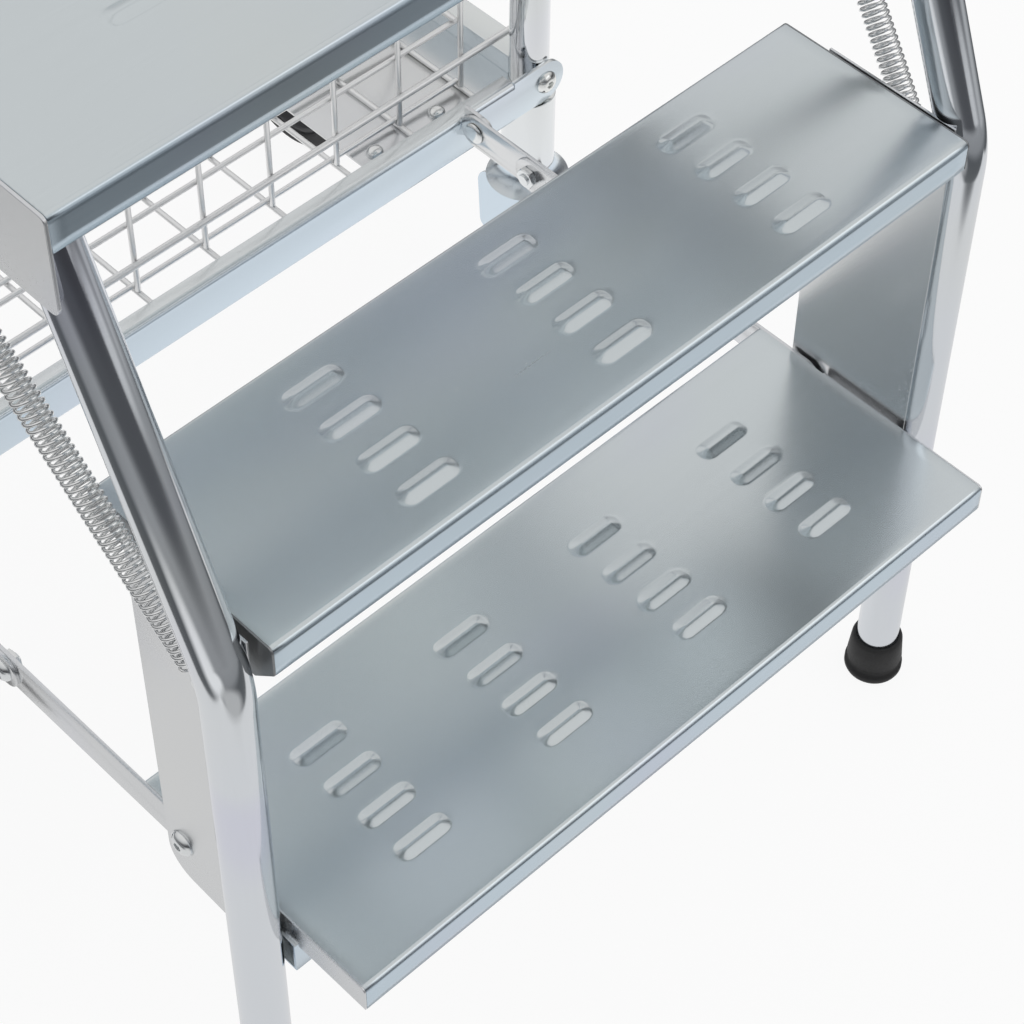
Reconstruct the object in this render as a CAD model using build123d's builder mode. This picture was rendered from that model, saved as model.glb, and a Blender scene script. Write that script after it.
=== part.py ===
from build123d import *
import os
from math import cos, pi, sin, sqrt

# A mobile step ladder: two sheet-steel steps and a platform that fold up against a wheeled basket trolley.
# X runs across the steps, Y from the front of the steps to the back, Z up from the floor.
# The origin is on the floor, in the middle of the footprint. All sizes are in millimetres.

# Steps and platform
step_width = 500.0
first_rise = 257.0
step_rise = 243.5
lower_depth = 182.0
upper_depth = 136.5
upper_setback = 52.0
platform_setback = 132.0
platform_overhang = 18.0
sheet = 2.0
lip = 19.5
edge_radius = 3.5
end_plate = 3.0
end_seam = 0.4
platform_lip = 21.0
skirt_depth = 59.0
skirt_gap = 0.5
skirt_corner = 6.0
rib_width = 40.0
rib_depth = 22.0
rib_inset = 12.0
rib_shares = (1 / 3, 2 / 3)

# Raised anti-slip dimples, in rows of four from front to back
dimple_length = 38.0
dimple_width = 14.0
dimple_corner = 4.2
dimple_height = 2.6
dimple_taper = 45.0
dimple_row = 4
dimple_pitch = 28.0
lower_groups = 4
lower_group_pitch = 108.0
upper_groups = 3
upper_group_pitch = 134.0
upper_group_shift = 8.0
platform_groups = 3
platform_group_pitch = 170.0
platform_row_step = 120.0

# Tubes
tube_d = 28.0
tube_wall = 2.0
leg_setback = 67.0
leg_side_gap = 1.5
bend_height = 478.0
bend_radius = 90.0
tube_top = 18.0
upright_x = 330.0
upright_setback = 473.0
handrail_height = 1400.0
handrail_radius = 110.0
trolley_length = 290.0
post_height = 270.0
foot_height = 34.0
foot_floor = 6.0
foot_top_d = 34.0
foot_base_d = 39.0

# Folding linkage: platform and stays are equal, parallel cranks
link_length = 300.0
pivot_lead = 14.0
hinge_drop = 32.0
stay_drop = 13.5
stay_height = 26.0
stay_overlap = 83.0
stay_joint_reach = 55.0
stay_step_gap = 0.4
pivot_gap = 0.4
gusset_thick = 3.0
gusset_margin = 14.0
gusset_heel = 32.0
gusset_toe = 39.0
gusset_corner = 20.0
gusset_lap = 10.0
gusset_top_drop = 2.0

# Base frame and basket
channel_height = 36.0
channel_drop = 10.0
channel_flange = 12.0
channel_wall = 3.0
channel_half = 300.0
channel_bend = 5.0
lug_height = 33.0
lug_drop = 26.0
rail_width = 20.0
rail_height = 30.0
rail_wall = 2.0
step_rail_size = 25.0
base_plate_inner = 185.0
base_plate_height = 225.0
wire_d = 4.0
hanger_d = 5.0
hanger_rise = 34.0
wire_pitch = 57.0
wire_gaps = 10
band_height = 287.0
rim_height = 360.0
rim_drop = 6.0
floor_wires = 5

# Castors
wheel_d = 125.0
wheel_width = 30.0
tyre_depth = 15.0
tyre_round = 5.0
castor_trail = 32.0
fork_thick = 3.0
fork_gap = 2.5
fork_half_length = 30.0
fork_eye = 16.0
fork_heel = 8.0
fork_heel_reach = 20.0
fork_heel_height = 84.0
crown_gap = 6.0
race_height = 16.0
race_top_d = 38.0
kingpin_d = 12.0
axle_d = 12.0
axle_nut_d = 20.5
hub_boss_d = 30.0
hub_web = 8.0
hub_rim = 5.0
socket_d = 38.0
socket_seat = 24.5
socket_clear = 1.6

# Springs
spring_od = 16.0
spring_wire = 2.2
spring_turns = 16
spring_side_gap = 0.8
spring_foot_lead = 23.0
spring_foot_drop = 23.0
spring_head_reach = 107.0
spring_head_drop = 51.0
spring_pin_d = 6.0
spring_foot_hook = 10.0
spring_head_hook = 20.0

# Fasteners and fits
bolt_d = 8.0
pivot_d = 10.0
head_d = 17.0
head_height = 4.5
head_taper = 35.0
nut_d = 16.0
nut_height = 6.0
running_gap = 0.05
slack_gap = 0.3
nest_gap = 0.1
swivel_gap = 0.3
plate_bolt_d = 12.0
plate_bolt_height = 5.0
plate_bolt_columns = (3.5, 4.5)
head_sides = 12
nut_sides = 6
wire_sides = 8
spring_sides = 4

# Places that follow from the sizes above
socket_base = wheel_d + crown_gap + fork_thick + race_height + swivel_gap
socket_shoulder = socket_base + socket_seat
overall_depth = upright_setback + trolley_length - castor_trail + wheel_d / 2
lower_front = -overall_depth / 2
upper_front = lower_front + upper_setback
platform_front = lower_front + platform_setback
leg_y = lower_front + leg_setback
upright_y = lower_front + upright_setback
post_y = upright_y + trolley_length
platform_back = upright_y + platform_overhang
lower_top = first_rise
upper_top = first_rise + step_rise
platform_top = first_rise + 2 * step_rise
tube_r = tube_d / 2
half_step = step_width / 2
tread_half = half_step - end_plate - end_seam
tube_x = half_step + leg_side_gap + tube_r
skirt_inner = tube_x + tube_r + skirt_gap
skirt_outer = skirt_inner + sheet
channel_face = upright_y - tube_r - channel_wall
channel_top = lower_top - channel_drop
lug_z = lower_top - lug_drop
pivot_y = upright_y - pivot_lead
pivot_z = platform_top - hinge_drop
hinge_y = pivot_y - link_length
stay_z = lower_top - stay_drop
stay_rear_y = channel_face - stay_height / 2 - pivot_gap
stay_front_y = stay_rear_y - link_length
stay_joint_y = stay_rear_y - stay_joint_reach
stay_rivet_y = stay_joint_y - stay_overlap
stay_inner = tread_half + stay_step_gap
stay_middle = half_step - pivot_gap
stay_thick = stay_middle - stay_inner
stay_outer = stay_middle + stay_thick
gusset_inner = half_step
gusset_outer = gusset_inner + gusset_thick
lug_inner = stay_outer + pivot_gap
lug_outer = lug_inner + gusset_thick
spring_foot_x = gusset_outer + spring_side_gap + spring_od / 2
spring_head_x = skirt_outer + spring_wire / 2 + slack_gap
spring_foot = (leg_y + spring_foot_lead, bend_height - spring_foot_drop)
spring_head = (hinge_y + spring_head_reach, platform_top - spring_head_drop)
hanger_height = base_plate_height + hanger_rise
rail_inner = upright_x - rail_width / 2
sides = {"left": -1, "right": 1}
ends = {"front": upright_y, "rear": post_y}
BASE = (Align.CENTER, Align.CENTER, Align.MIN)

os.makedirs("parts", exist_ok=True)


def keep(piece, name):
    """Label a finished piece and write it to its own file."""
    piece.part.label = name
    export_step(piece.part, f"parts/{name}.step")


def rod(start, end, diameter, mode=Mode.ADD):
    """A round bar between two points, in the current part."""
    reach = Vector(*end) - Vector(*start)
    with Locations(Plane(origin=start, z_dir=reach)):
        Cylinder(diameter / 2, reach.length, align=BASE, mode=mode)


def block(low, high, mode=Mode.ADD):
    """A box between two corners, in the current part."""
    size = [b - a for a, b in zip(low, high)]
    middle = tuple((a + b) / 2 for a, b in zip(low, high))
    with Locations(middle):
        Box(*size, mode=mode)


def head(seat, outward, diameter, height):
    """A domed fastener head that stands on its seat, in the current part."""
    with BuildSketch(Plane(origin=seat, z_dir=outward)) as round_head:
        RegularPolygon(diameter / 2, head_sides)
    extrude(round_head.sketch, amount=height, taper=head_taper)


def wire(start, end, diameter):
    """A straight basket wire with eight flats between two points, in the current part."""
    reach = Vector(*end) - Vector(*start)
    with BuildSketch(Plane(origin=start, z_dir=reach)) as flats:
        RegularPolygon(diameter / 2, wire_sides)
    extrude(flats.sketch, amount=reach.length)


def nut(seat, outward, diameter, height):
    """A hexagon nut that stands on its seat, in the current part."""
    with BuildSketch(Plane(origin=seat, z_dir=outward)) as hexagon:
        RegularPolygon(diameter / 2, nut_sides)
    extrude(hexagon.sketch, amount=height)


def dimples(top, middle_y, groups, pitch, shift, rows=1, row_step=0.0):
    """Raised long dimples with cut corners on a horizontal sheet, in the current part."""
    with BuildSketch(Plane.XY.offset(top)) as slots:
        with Locations((shift, middle_y)):
            with GridLocations(pitch, row_step, groups, rows):
                with GridLocations(0, dimple_pitch, 1, dimple_row):
                    Rectangle(dimple_length, dimple_width)
        chamfer(slots.vertices(), dimple_corner)
    extrude(slots.sketch, amount=dimple_height, taper=dimple_taper)


def tray_section(front, back, top, drop, thick):
    """Outline of a sheet that is folded down at its front and back, as a face across the steps."""
    with BuildSketch(Plane.YZ) as section:
        with BuildLine():
            Polyline(
                (front, top - drop), (front, top), (back, top), (back, top - drop),
                (back - thick, top - drop), (back - thick, top - thick),
                (front + thick, top - thick), (front + thick, top - drop), close=True,
            )
        make_face()
        corners = section.vertices().filter_by(lambda v: v.Y > top - thick / 2)
        fillet(corners, edge_radius)
        inner = section.vertices().filter_by(lambda v: abs(v.Y - top + thick) < thick / 4)
        fillet(inner, max(edge_radius - thick, thick / 4))
    return section.sketch


# Treads: sheet folded down at the front and the back, with pressed dimples
def tread(name, front, depth, top, groups, pitch, shift):
    with BuildPart() as piece:
        extrude(tray_section(front, front + depth, top, lip, sheet), amount=tread_half, both=True)
        dimples(top, front + depth / 2, groups, pitch, shift)
    keep(piece, name)


tread("lower_tread", lower_front, lower_depth, lower_top, lower_groups, lower_group_pitch, 0)
tread("upper_tread", upper_front, upper_depth, upper_top, upper_groups, upper_group_pitch, upper_group_shift)

# End plates: they close the treads, and the lower ones stop short of the stays
upper_back = upper_front + upper_depth
lower_plate_depth = stay_front_y - stay_height / 2 - stay_step_gap - lower_front
for side, sign in sides.items():
    inner_face = Plane.YZ.offset(sign * (half_step - end_plate))
    with BuildPart() as lower_end:
        with BuildSketch(inner_face):
            with Locations((lower_front + lower_plate_depth / 2, lower_top - lip / 2)):
                Rectangle(lower_plate_depth, lip)
        extrude(amount=sign * end_plate)
        fillet(lower_end.edges().filter_by(Axis.X).group_by(Axis.Z)[-1], edge_radius)
    keep(lower_end, f"lower_end_plate_{side}")

    with BuildPart() as upper_end:
        with BuildSketch(inner_face):
            with BuildLine():
                Polyline(
                    (upper_front, upper_top - lip), (upper_front, upper_top), (upper_back, upper_top),
                    (upper_back, upper_top - lip), (leg_y + tube_d, upper_top - lip - tube_r),
                    (leg_y - tube_r, upper_top - lip - tube_r), close=True,
                )
            make_face()
        extrude(amount=sign * end_plate)
        fillet(upper_end.edges().filter_by(Axis.X).group_by(Axis.Z)[-1], edge_radius)
    keep(upper_end, f"upper_end_plate_{side}")

# Front legs: bent tube, upright below and leaning back to the platform hinge above
lean = Vector(0, hinge_y - leg_y, pivot_z - bend_height).normalized()
leg_end = Vector(0, hinge_y, pivot_z) + lean * tube_top


def leg_path(x):
    with BuildLine() as path:
        FilletPolyline(
            (x, leg_y, foot_floor), (x, leg_y, bend_height), (x, leg_end.Y, leg_end.Z), radius=bend_radius
        )
    return path.wires()[0]


def leg_solid(x, diameter):
    with BuildPart() as solid:
        with BuildSketch(Plane.XY.offset(foot_floor)) as section:
            with Locations((x, leg_y)):
                Circle(diameter / 2)
        sweep(section.sketch, path=leg_path(x))
    return solid.part


for side, sign in sides.items():
    x = sign * tube_x
    with BuildPart() as leg:
        add(leg_solid(x, tube_d))
        add(leg_solid(x, tube_d - 2 * tube_wall), mode=Mode.SUBTRACT)
        bore = pivot_d + 2 * running_gap
        rod((x - tube_d, hinge_y, pivot_z), (x + tube_d, hinge_y, pivot_z), bore, Mode.SUBTRACT)
    keep(leg, f"front_leg_{side}")

    with BuildPart() as gusset:
        with BuildSketch(Plane.YZ.offset(sign * gusset_inner)) as cheek:
            with BuildLine():
                Polyline(
                    (leg_y - gusset_lap, upper_top - gusset_top_drop),
                    (stay_front_y + gusset_margin, upper_top - gusset_top_drop),
                    (stay_front_y + gusset_margin, stay_z - gusset_heel),
                    (leg_y - gusset_lap, stay_z - gusset_toe), close=True,
                )
            make_face()
            heel = cheek.vertices().group_by(Axis.X)[-1].sort_by(Axis.Y)[0]
            fillet(heel, gusset_corner)
        extrude(amount=sign * gusset_thick)
        add(leg_solid(x, tube_d), mode=Mode.SUBTRACT)
        rod((sign * gusset_inner, stay_front_y, stay_z), (sign * gusset_outer, stay_front_y, stay_z),
            bolt_d + 2 * nest_gap, Mode.SUBTRACT)
    keep(gusset, f"gusset_{side}")

with BuildPart() as feet:
    for x in (-tube_x, tube_x):
        with Locations((x, leg_y, 0)):
            Cone(foot_base_d / 2, foot_top_d / 2, foot_height, align=BASE)
        rod((x, leg_y, foot_floor), (x, leg_y, foot_height), tube_d + 2 * nest_gap, Mode.SUBTRACT)
keep(feet, "rubber_feet")

# Cross rail from gusset to gusset, under the lower step
with BuildPart() as step_rail:
    rail_top = lower_top - lip
    half_rail = step_rail_size / 2
    reach = gusset_inner
    block((-reach, leg_y - half_rail, rail_top - step_rail_size), (reach, leg_y + half_rail, rail_top))
    inside = half_rail - rail_wall
    block((-reach, leg_y - inside, rail_top - step_rail_size + rail_wall),
          (reach, leg_y + inside, rail_top - rail_wall), Mode.SUBTRACT)
keep(step_rail, "step_rail")

# Pivot rivets that hold the stays to the gussets
with BuildPart() as gusset_rivets:
    for sign in sides.values():
        seat = (sign * gusset_outer, stay_front_y, stay_z)
        rod((sign * (stay_inner + pivot_gap), stay_front_y, stay_z), seat, bolt_d)
        head(seat, (sign, 0, 0), head_d, head_height)
keep(gusset_rivets, "gusset_rivets")

# Platform: a tray with deep side skirts, hinged to the uprights behind and to the legs in front
with BuildPart() as deck:
    tray = tray_section(platform_front, platform_back, platform_top, platform_lip, sheet)
    extrude(tray, amount=skirt_outer, both=True)
    skirt_low, fold_start = platform_top - skirt_depth, platform_top - edge_radius
    for sign in sides.values():
        with BuildSketch(Plane.YZ.offset(sign * skirt_inner)) as skirt:
            with BuildLine():
                Polyline(
                    (platform_front, skirt_low + skirt_corner), (platform_front, fold_start),
                    (platform_front + edge_radius, platform_top - sheet),
                    (platform_back - edge_radius, platform_top - sheet), (platform_back, fold_start),
                    (platform_back, skirt_low + skirt_corner),
                )
                back_heel = (platform_back - skirt_corner, skirt_low)
                front_heel = (platform_front + skirt_corner, skirt_low)
                TangentArc((platform_back, skirt_low + skirt_corner), back_heel, tangent=(0, -1))
                Line(back_heel, front_heel)
                TangentArc(front_heel, (platform_front, skirt_low + skirt_corner), tangent=(-1, 0))
            make_face()
        extrude(skirt.sketch, amount=sign * sheet)
        outer = sign * 2 * skirt_outer
        rod((0, pivot_y, pivot_z), (outer, pivot_y, pivot_z), pivot_d + 2 * nest_gap, Mode.SUBTRACT)
        rod((0, hinge_y, pivot_z), (outer, hinge_y, pivot_z), pivot_d + 2 * nest_gap, Mode.SUBTRACT)
    dimples(platform_top, (platform_front + platform_back) / 2, platform_groups, platform_group_pitch, 0,
            rows=2, row_step=platform_row_step)
keep(deck, "platform_deck")

with BuildPart() as ribs:
    rib_half = half_step - rib_inset
    for share in rib_shares:
        rib_y = hinge_y + share * link_length
        top = platform_top - sheet
        block((-rib_half, rib_y - rib_width / 2, top - rib_depth), (rib_half, rib_y + rib_width / 2, top))
        block((-rib_half, rib_y - rib_width / 2 + sheet, top - rib_depth + sheet),
              (rib_half, rib_y + rib_width / 2 - sheet, top), Mode.SUBTRACT)
keep(ribs, "platform_ribs")

with BuildPart() as hinge_bolts:
    for sign in sides.values():
        seat = (sign * skirt_outer, hinge_y, pivot_z)
        nut_seat = (sign * (half_step - slack_gap), hinge_y, pivot_z)
        rod(nut_seat, seat, pivot_d)
        head(seat, (sign, 0, 0), head_d, head_height)
        nut(nut_seat, (-sign, 0, 0), nut_d, nut_height)
keep(hinge_bolts, "front_hinge_bolts")

boss_face = skirt_outer + pivot_gap
boss_depth = upright_x - tube_r - boss_face
with BuildPart() as pivot_bolts:
    for sign in sides.values():
        seat = (sign * skirt_inner, pivot_y, pivot_z)
        rod(seat, (sign * (boss_face + boss_depth - slack_gap), pivot_y, pivot_z), pivot_d)
        nut(seat, (-sign, 0, 0), nut_d, nut_height)
keep(pivot_bolts, "platform_pivot_bolts")

# Pins that the springs hook on
with BuildPart() as upper_pins:
    for sign in sides.values():
        pin_end = spring_head_x + spring_wire / 2 + slack_gap
        rod((sign * skirt_outer, *spring_head), (sign * pin_end, *spring_head), spring_pin_d)
keep(upper_pins, "spring_pins_upper")

with BuildPart() as lower_pins:
    for sign in sides.values():
        rod((sign * gusset_outer, *spring_foot), (sign * (spring_foot_x + spring_pin_d), *spring_foot), spring_pin_d)
keep(lower_pins, "spring_pins_lower")


# Lift springs: one unbroken wire each, a helix of biarcs between the two pins
def helix_points(sign):
    foot = Vector(sign * spring_foot_x, *spring_foot)
    end = Vector(sign * spring_head_x, *spring_head)
    axis = (end - foot).normalized()
    beside = axis.cross(Vector(1, 0, 0)).normalized()
    across = beside.cross(axis)
    radius = (spring_od - spring_wire) / 2
    length = (end - foot).length - spring_foot_hook - spring_head_hook
    rate = length / (2 * pi * spring_turns)
    points = []
    for half_turn in range(2 * spring_turns + 1):
        angle = half_turn * pi
        out = across * cos(angle) + beside * sin(angle)
        along = beside * cos(angle) - across * sin(angle)
        place = foot + axis * (spring_foot_hook + rate * angle) + out * radius
        points.append((place, (along * radius + axis * rate).normalized()))
    return points


def biarc(start, end):
    """Meeting point and direction of the two arcs that join two points with given directions."""
    (p0, t0), (p1, t1) = start, end
    reach = p1 - p0
    both = t0 + t1
    bend = 2 * (1 - t0.dot(t1))
    step = (sqrt(reach.dot(both) ** 2 + bend * reach.dot(reach)) - reach.dot(both)) / bend
    near, far = p0 + t0 * step, p1 - t1 * step
    return (near + far) * 0.5, (far - near).normalized()


def coil_gap(points):
    """Least free space between neighbouring turns, on points of one full turn."""
    gaps = [(b[0] - a[0]).length for a, b in zip(points, points[2:])]
    return min(gaps) - spring_wire


for side, sign in sides.items():
    points = helix_points(sign)
    with BuildPart() as spring:
        with BuildLine() as coil:
            (first, first_way), (last, last_way) = points[0], points[-1]
            Line(first - first_way * spring_wire, first)
            for start, end in zip(points, points[1:]):
                meet, way = biarc(start, end)
                TangentArc(start[0], meet, tangent=start[1])
                TangentArc(meet, end[0], tangent=way)
            Line(last, last + last_way * spring_wire)
        with BuildSketch(Plane(origin=coil.line @ 0, z_dir=first_way)) as section:
            RegularPolygon(spring_wire / 2, spring_sides)
        sweep(section.sketch, path=coil.wires()[0], clean=False)
    keep(spring, f"lift_spring_{side}")
    print(f"lift_spring_{side}: least gap between turns {coil_gap(points):.2f} mm")


# Stays: two flat bars bolted together, from the gusset to the base frame
def stay_bar(name, side_x, thick, start_y, end_y, eye_y, bore):
    with BuildPart() as bar:
        with BuildSketch(Plane.YZ.offset(side_x)):
            with Locations(((start_y + end_y) / 2, stay_z)):
                SlotCenterToCenter(end_y - start_y, stay_height)
        extrude(amount=thick)
        rod((side_x, eye_y, stay_z), (side_x + thick, eye_y, stay_z), bore, Mode.SUBTRACT)
    keep(bar, name)


for side, sign in sides.items():
    stay_bar(f"stay_front_bar_{side}", sign * stay_inner, sign * stay_thick, stay_front_y, stay_joint_y,
             stay_front_y, bolt_d + 2 * slack_gap)
    stay_bar(f"stay_rear_bar_{side}", sign * stay_middle, sign * stay_thick, stay_rivet_y, stay_rear_y,
             stay_rear_y, bolt_d + 2 * running_gap)

with BuildPart() as stay_fasteners:
    for sign in sides.values():
        for place in (stay_rivet_y, stay_joint_y):
            inner_seat = (sign * stay_inner, place, stay_z)
            outer_seat = (sign * stay_outer, place, stay_z)
            head(outer_seat, (sign, 0, 0), head_d, head_height)
            nut(inner_seat, (-sign, 0, 0), nut_d, nut_height)
keep(stay_fasteners, "stay_fasteners")

# Lugs on the base frame, with the bolts that the stays swing on
with BuildPart() as lugs:
    for sign in sides.values():
        with BuildSketch(Plane.YZ.offset(sign * lug_inner)) as lug:
            with Locations((stay_rear_y, stay_z)):
                Circle(stay_height / 2)
            with Locations(((stay_rear_y + channel_face) / 2, stay_z)):
                Rectangle(channel_face - stay_rear_y, stay_height)
        extrude(lug.sketch, amount=sign * gusset_thick)
        rod((sign * lug_inner, stay_rear_y, stay_z), (sign * lug_outer, stay_rear_y, stay_z),
            bolt_d + 2 * nest_gap, Mode.SUBTRACT)
keep(lugs, "stay_lugs")

with BuildPart() as stay_bolts:
    for sign in sides.values():
        head_seat = (sign * (stay_middle - slack_gap), stay_rear_y, stay_z)
        nut_seat = (sign * lug_outer, stay_rear_y, stay_z)
        rod(head_seat, nut_seat, bolt_d)
        head(head_seat, (-sign, 0, 0), head_d, head_height)
        nut(nut_seat, (sign, 0, 0), nut_d, nut_height)
keep(stay_bolts, "stay_pivot_bolts")

# Handrail: one bent tube that is both uprights and the rail above the platform
rail_z = handrail_height - tube_r


def handrail_solid(diameter):
    with BuildPart() as solid:
        with BuildLine() as path:
            FilletPolyline(
                (-upright_x, upright_y, socket_shoulder), (-upright_x, upright_y, rail_z),
                (upright_x, upright_y, rail_z), (upright_x, upright_y, socket_shoulder), radius=handrail_radius,
            )
        with BuildSketch(Plane.XY.offset(socket_shoulder)) as section:
            with Locations((-upright_x, upright_y)):
                Circle(diameter / 2)
        sweep(section.sketch, path=path.wires()[0])
    return solid.part


with BuildPart() as handrail:
    add(handrail_solid(tube_d))
    add(handrail_solid(tube_d - 2 * tube_wall), mode=Mode.SUBTRACT)
keep(handrail, "handrail_frame")

rear_face = post_y + tube_r + channel_wall
with BuildPart() as posts:
    for x in (-upright_x, upright_x):
        rod((x, post_y, socket_shoulder), (x, post_y, post_height), tube_d)
        rod((x, post_y, socket_shoulder), (x, post_y, post_height), tube_d - 2 * tube_wall, Mode.SUBTRACT)
keep(posts, "rear_posts")

with BuildPart() as caps:
    for x in (-upright_x, upright_x):
        rod((x, post_y, post_height), (x, post_y, post_height + foot_floor), tube_d)
        plug_d = tube_d - 2 * tube_wall - 2 * nest_gap
        rod((x, post_y, post_height - tube_r), (x, post_y, post_height), plug_d)
keep(caps, "post_caps")

with BuildPart() as bosses:
    for sign in sides.values():
        boss_d = nut_d + tube_r / 2
        rod((sign * boss_face, pivot_y, pivot_z), (sign * upright_x, pivot_y, pivot_z), boss_d)
        rod((sign * boss_face, pivot_y, pivot_z), (sign * upright_x, pivot_y, pivot_z),
            pivot_d + 2 * running_gap, Mode.SUBTRACT)
        rod((sign * upright_x, upright_y, pivot_z - tube_d), (sign * upright_x, upright_y, pivot_z + tube_d),
            tube_d, Mode.SUBTRACT)
keep(bosses, "platform_pivot_bosses")


# Base frame: folded channels at front and back, bolted to the posts through their lugs
def channel(name, face, inward):
    with BuildPart() as piece:
        with BuildSketch(Plane.YZ) as section:
            with BuildLine():
                low, high = channel_top - channel_height, channel_top
                tip, web = face + inward * channel_flange, face + inward * channel_wall
                Polyline(
                    (tip, high), (face, high), (face, low), (tip, low), (tip, low + channel_wall),
                    (web, low + channel_wall), (web, high - channel_wall), (tip, high - channel_wall), close=True,
                )
            make_face()
            outer = section.vertices().filter_by(lambda v: abs(v.X - face) < channel_wall / 2)
            fillet(outer, channel_bend)
        extrude(section.sketch, amount=channel_half, both=True)
        with BuildSketch(Plane.XZ.offset(-face)) as lug:
            for x in (-upright_x, upright_x):
                with Locations((x, lug_z)):
                    Circle(lug_height / 2)
                shoulder = channel_half * x / upright_x
                with Locations(((x + shoulder) / 2, lug_z)):
                    Rectangle(abs(x - shoulder), lug_height)
        extrude(lug.sketch, amount=-inward * channel_wall)
    keep(piece, name)


channel("front_channel", channel_face, 1)
channel("rear_channel", rear_face, -1)

with BuildPart() as frame_bolts:
    for x in (-upright_x, upright_x):
        for face, inward in ((channel_face, 1), (rear_face, -1)):
            head((x, face, lug_z), (0, -inward, 0), head_d, head_height)
keep(frame_bolts, "frame_bolts")

socket_top = lug_z - lug_height / 2 - socket_clear
with BuildPart() as rails:
    for sign in sides.values():
        low = (sign * upright_x - rail_width / 2, upright_y, socket_top)
        high = (sign * upright_x + rail_width / 2, post_y, socket_top + rail_height)
        block(low, high)
        block((low[0] + rail_wall, upright_y, socket_top + rail_wall),
              (high[0] - rail_wall, post_y, socket_top + rail_height - rail_wall), Mode.SUBTRACT)
        for y in ends.values():
            rod((sign * upright_x, y, socket_base), (sign * upright_x, y, socket_top + tube_d + rail_height),
                tube_d, Mode.SUBTRACT)
keep(rails, "side_rails")

front_web = channel_face + channel_wall
rear_web = rear_face - channel_wall
plate_top = base_plate_height + sheet
bolt_rows = ((front_web + tube_d, rear_web - tube_d), [share * wire_pitch for share in plate_bolt_columns])
for side, sign in sides.items():
    with BuildPart() as plate:
        inner_x, outer_x = sorted((sign * base_plate_inner, sign * rail_inner))
        block((inner_x, front_web, base_plate_height), (outer_x, rear_web, plate_top))
        for y in ends.values():
            rod((sign * upright_x, y, base_plate_height - sheet), (sign * upright_x, y, plate_top + sheet),
                tube_d, Mode.SUBTRACT)
    keep(plate, f"base_plate_{side}")

with BuildPart() as plate_bolts:
    for sign in sides.values():
        for y in bolt_rows[0]:
            for x in bolt_rows[1]:
                nut((sign * x, y, plate_top), (0, 0, 1), plate_bolt_d, plate_bolt_height)
keep(plate_bolts, "base_plate_bolts")

# Basket: straight wires welded where they cross, on hanger rods behind the uprights
front_hanger = upright_y + tube_r + hanger_d / 2
rear_hanger = post_y - tube_r - hanger_d / 2
with BuildPart() as hangers:
    for y in (front_hanger, rear_hanger):
        rod((-upright_x - tube_r, y, hanger_height), (upright_x + tube_r, y, hanger_height), hanger_d)
keep(hangers, "basket_hangers")

front_wall = front_hanger + (hanger_d + wire_d) / 2
rear_wall = rear_hanger - (hanger_d + wire_d) / 2
half_basket = wire_pitch * wire_gaps / 2
columns = [index * wire_pitch - half_basket for index in range(wire_gaps + 1)]
long_z = plate_top + wire_d / 2
cross_z = long_z + wire_d
inner_front, inner_rear = front_wall + wire_d, rear_wall - wire_d
rows = [inner_front + (inner_rear - inner_front) * index / (floor_wires - 1) for index in range(floor_wires)]
with BuildPart() as basket:
    for x in columns:
        wire((x, front_web, long_z), (x, rear_web, long_z), wire_d)
        for y in (front_wall, rear_wall):
            wire((x, y, long_z + wire_d / 2), (x, y, rim_height), wire_d)
    for y in rows:
        wire((-half_basket, y, cross_z), (half_basket, y, cross_z), wire_d)
    for x in (-half_basket, half_basket):
        for y in rows[1:-1]:
            wire((x, y, cross_z + wire_d / 2), (x, y, rim_height), wire_d)
    for z in (band_height, rim_height - rim_drop):
        for y in (inner_front, inner_rear):
            wire((-half_basket, y, z), (half_basket, y, z), wire_d)
        for x in (-half_basket + wire_d, half_basket - wire_d):
            wire((x, front_wall, z + wire_d), (x, rear_wall, z + wire_d), wire_d)
keep(basket, "wire_basket")

# Castor sockets: they carry the posts and hold the kingpins
with BuildPart() as sockets:
    for x in (-upright_x, upright_x):
        for y in ends.values():
            rod((x, y, socket_base), (x, y, socket_top), socket_d)
            rod((x, y, socket_shoulder), (x, y, socket_top), tube_d + 2 * nest_gap, Mode.SUBTRACT)
            rod((x, y, socket_base), (x, y, socket_shoulder), kingpin_d + 2 * running_gap, Mode.SUBTRACT)
keep(sockets, "castor_sockets")

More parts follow.
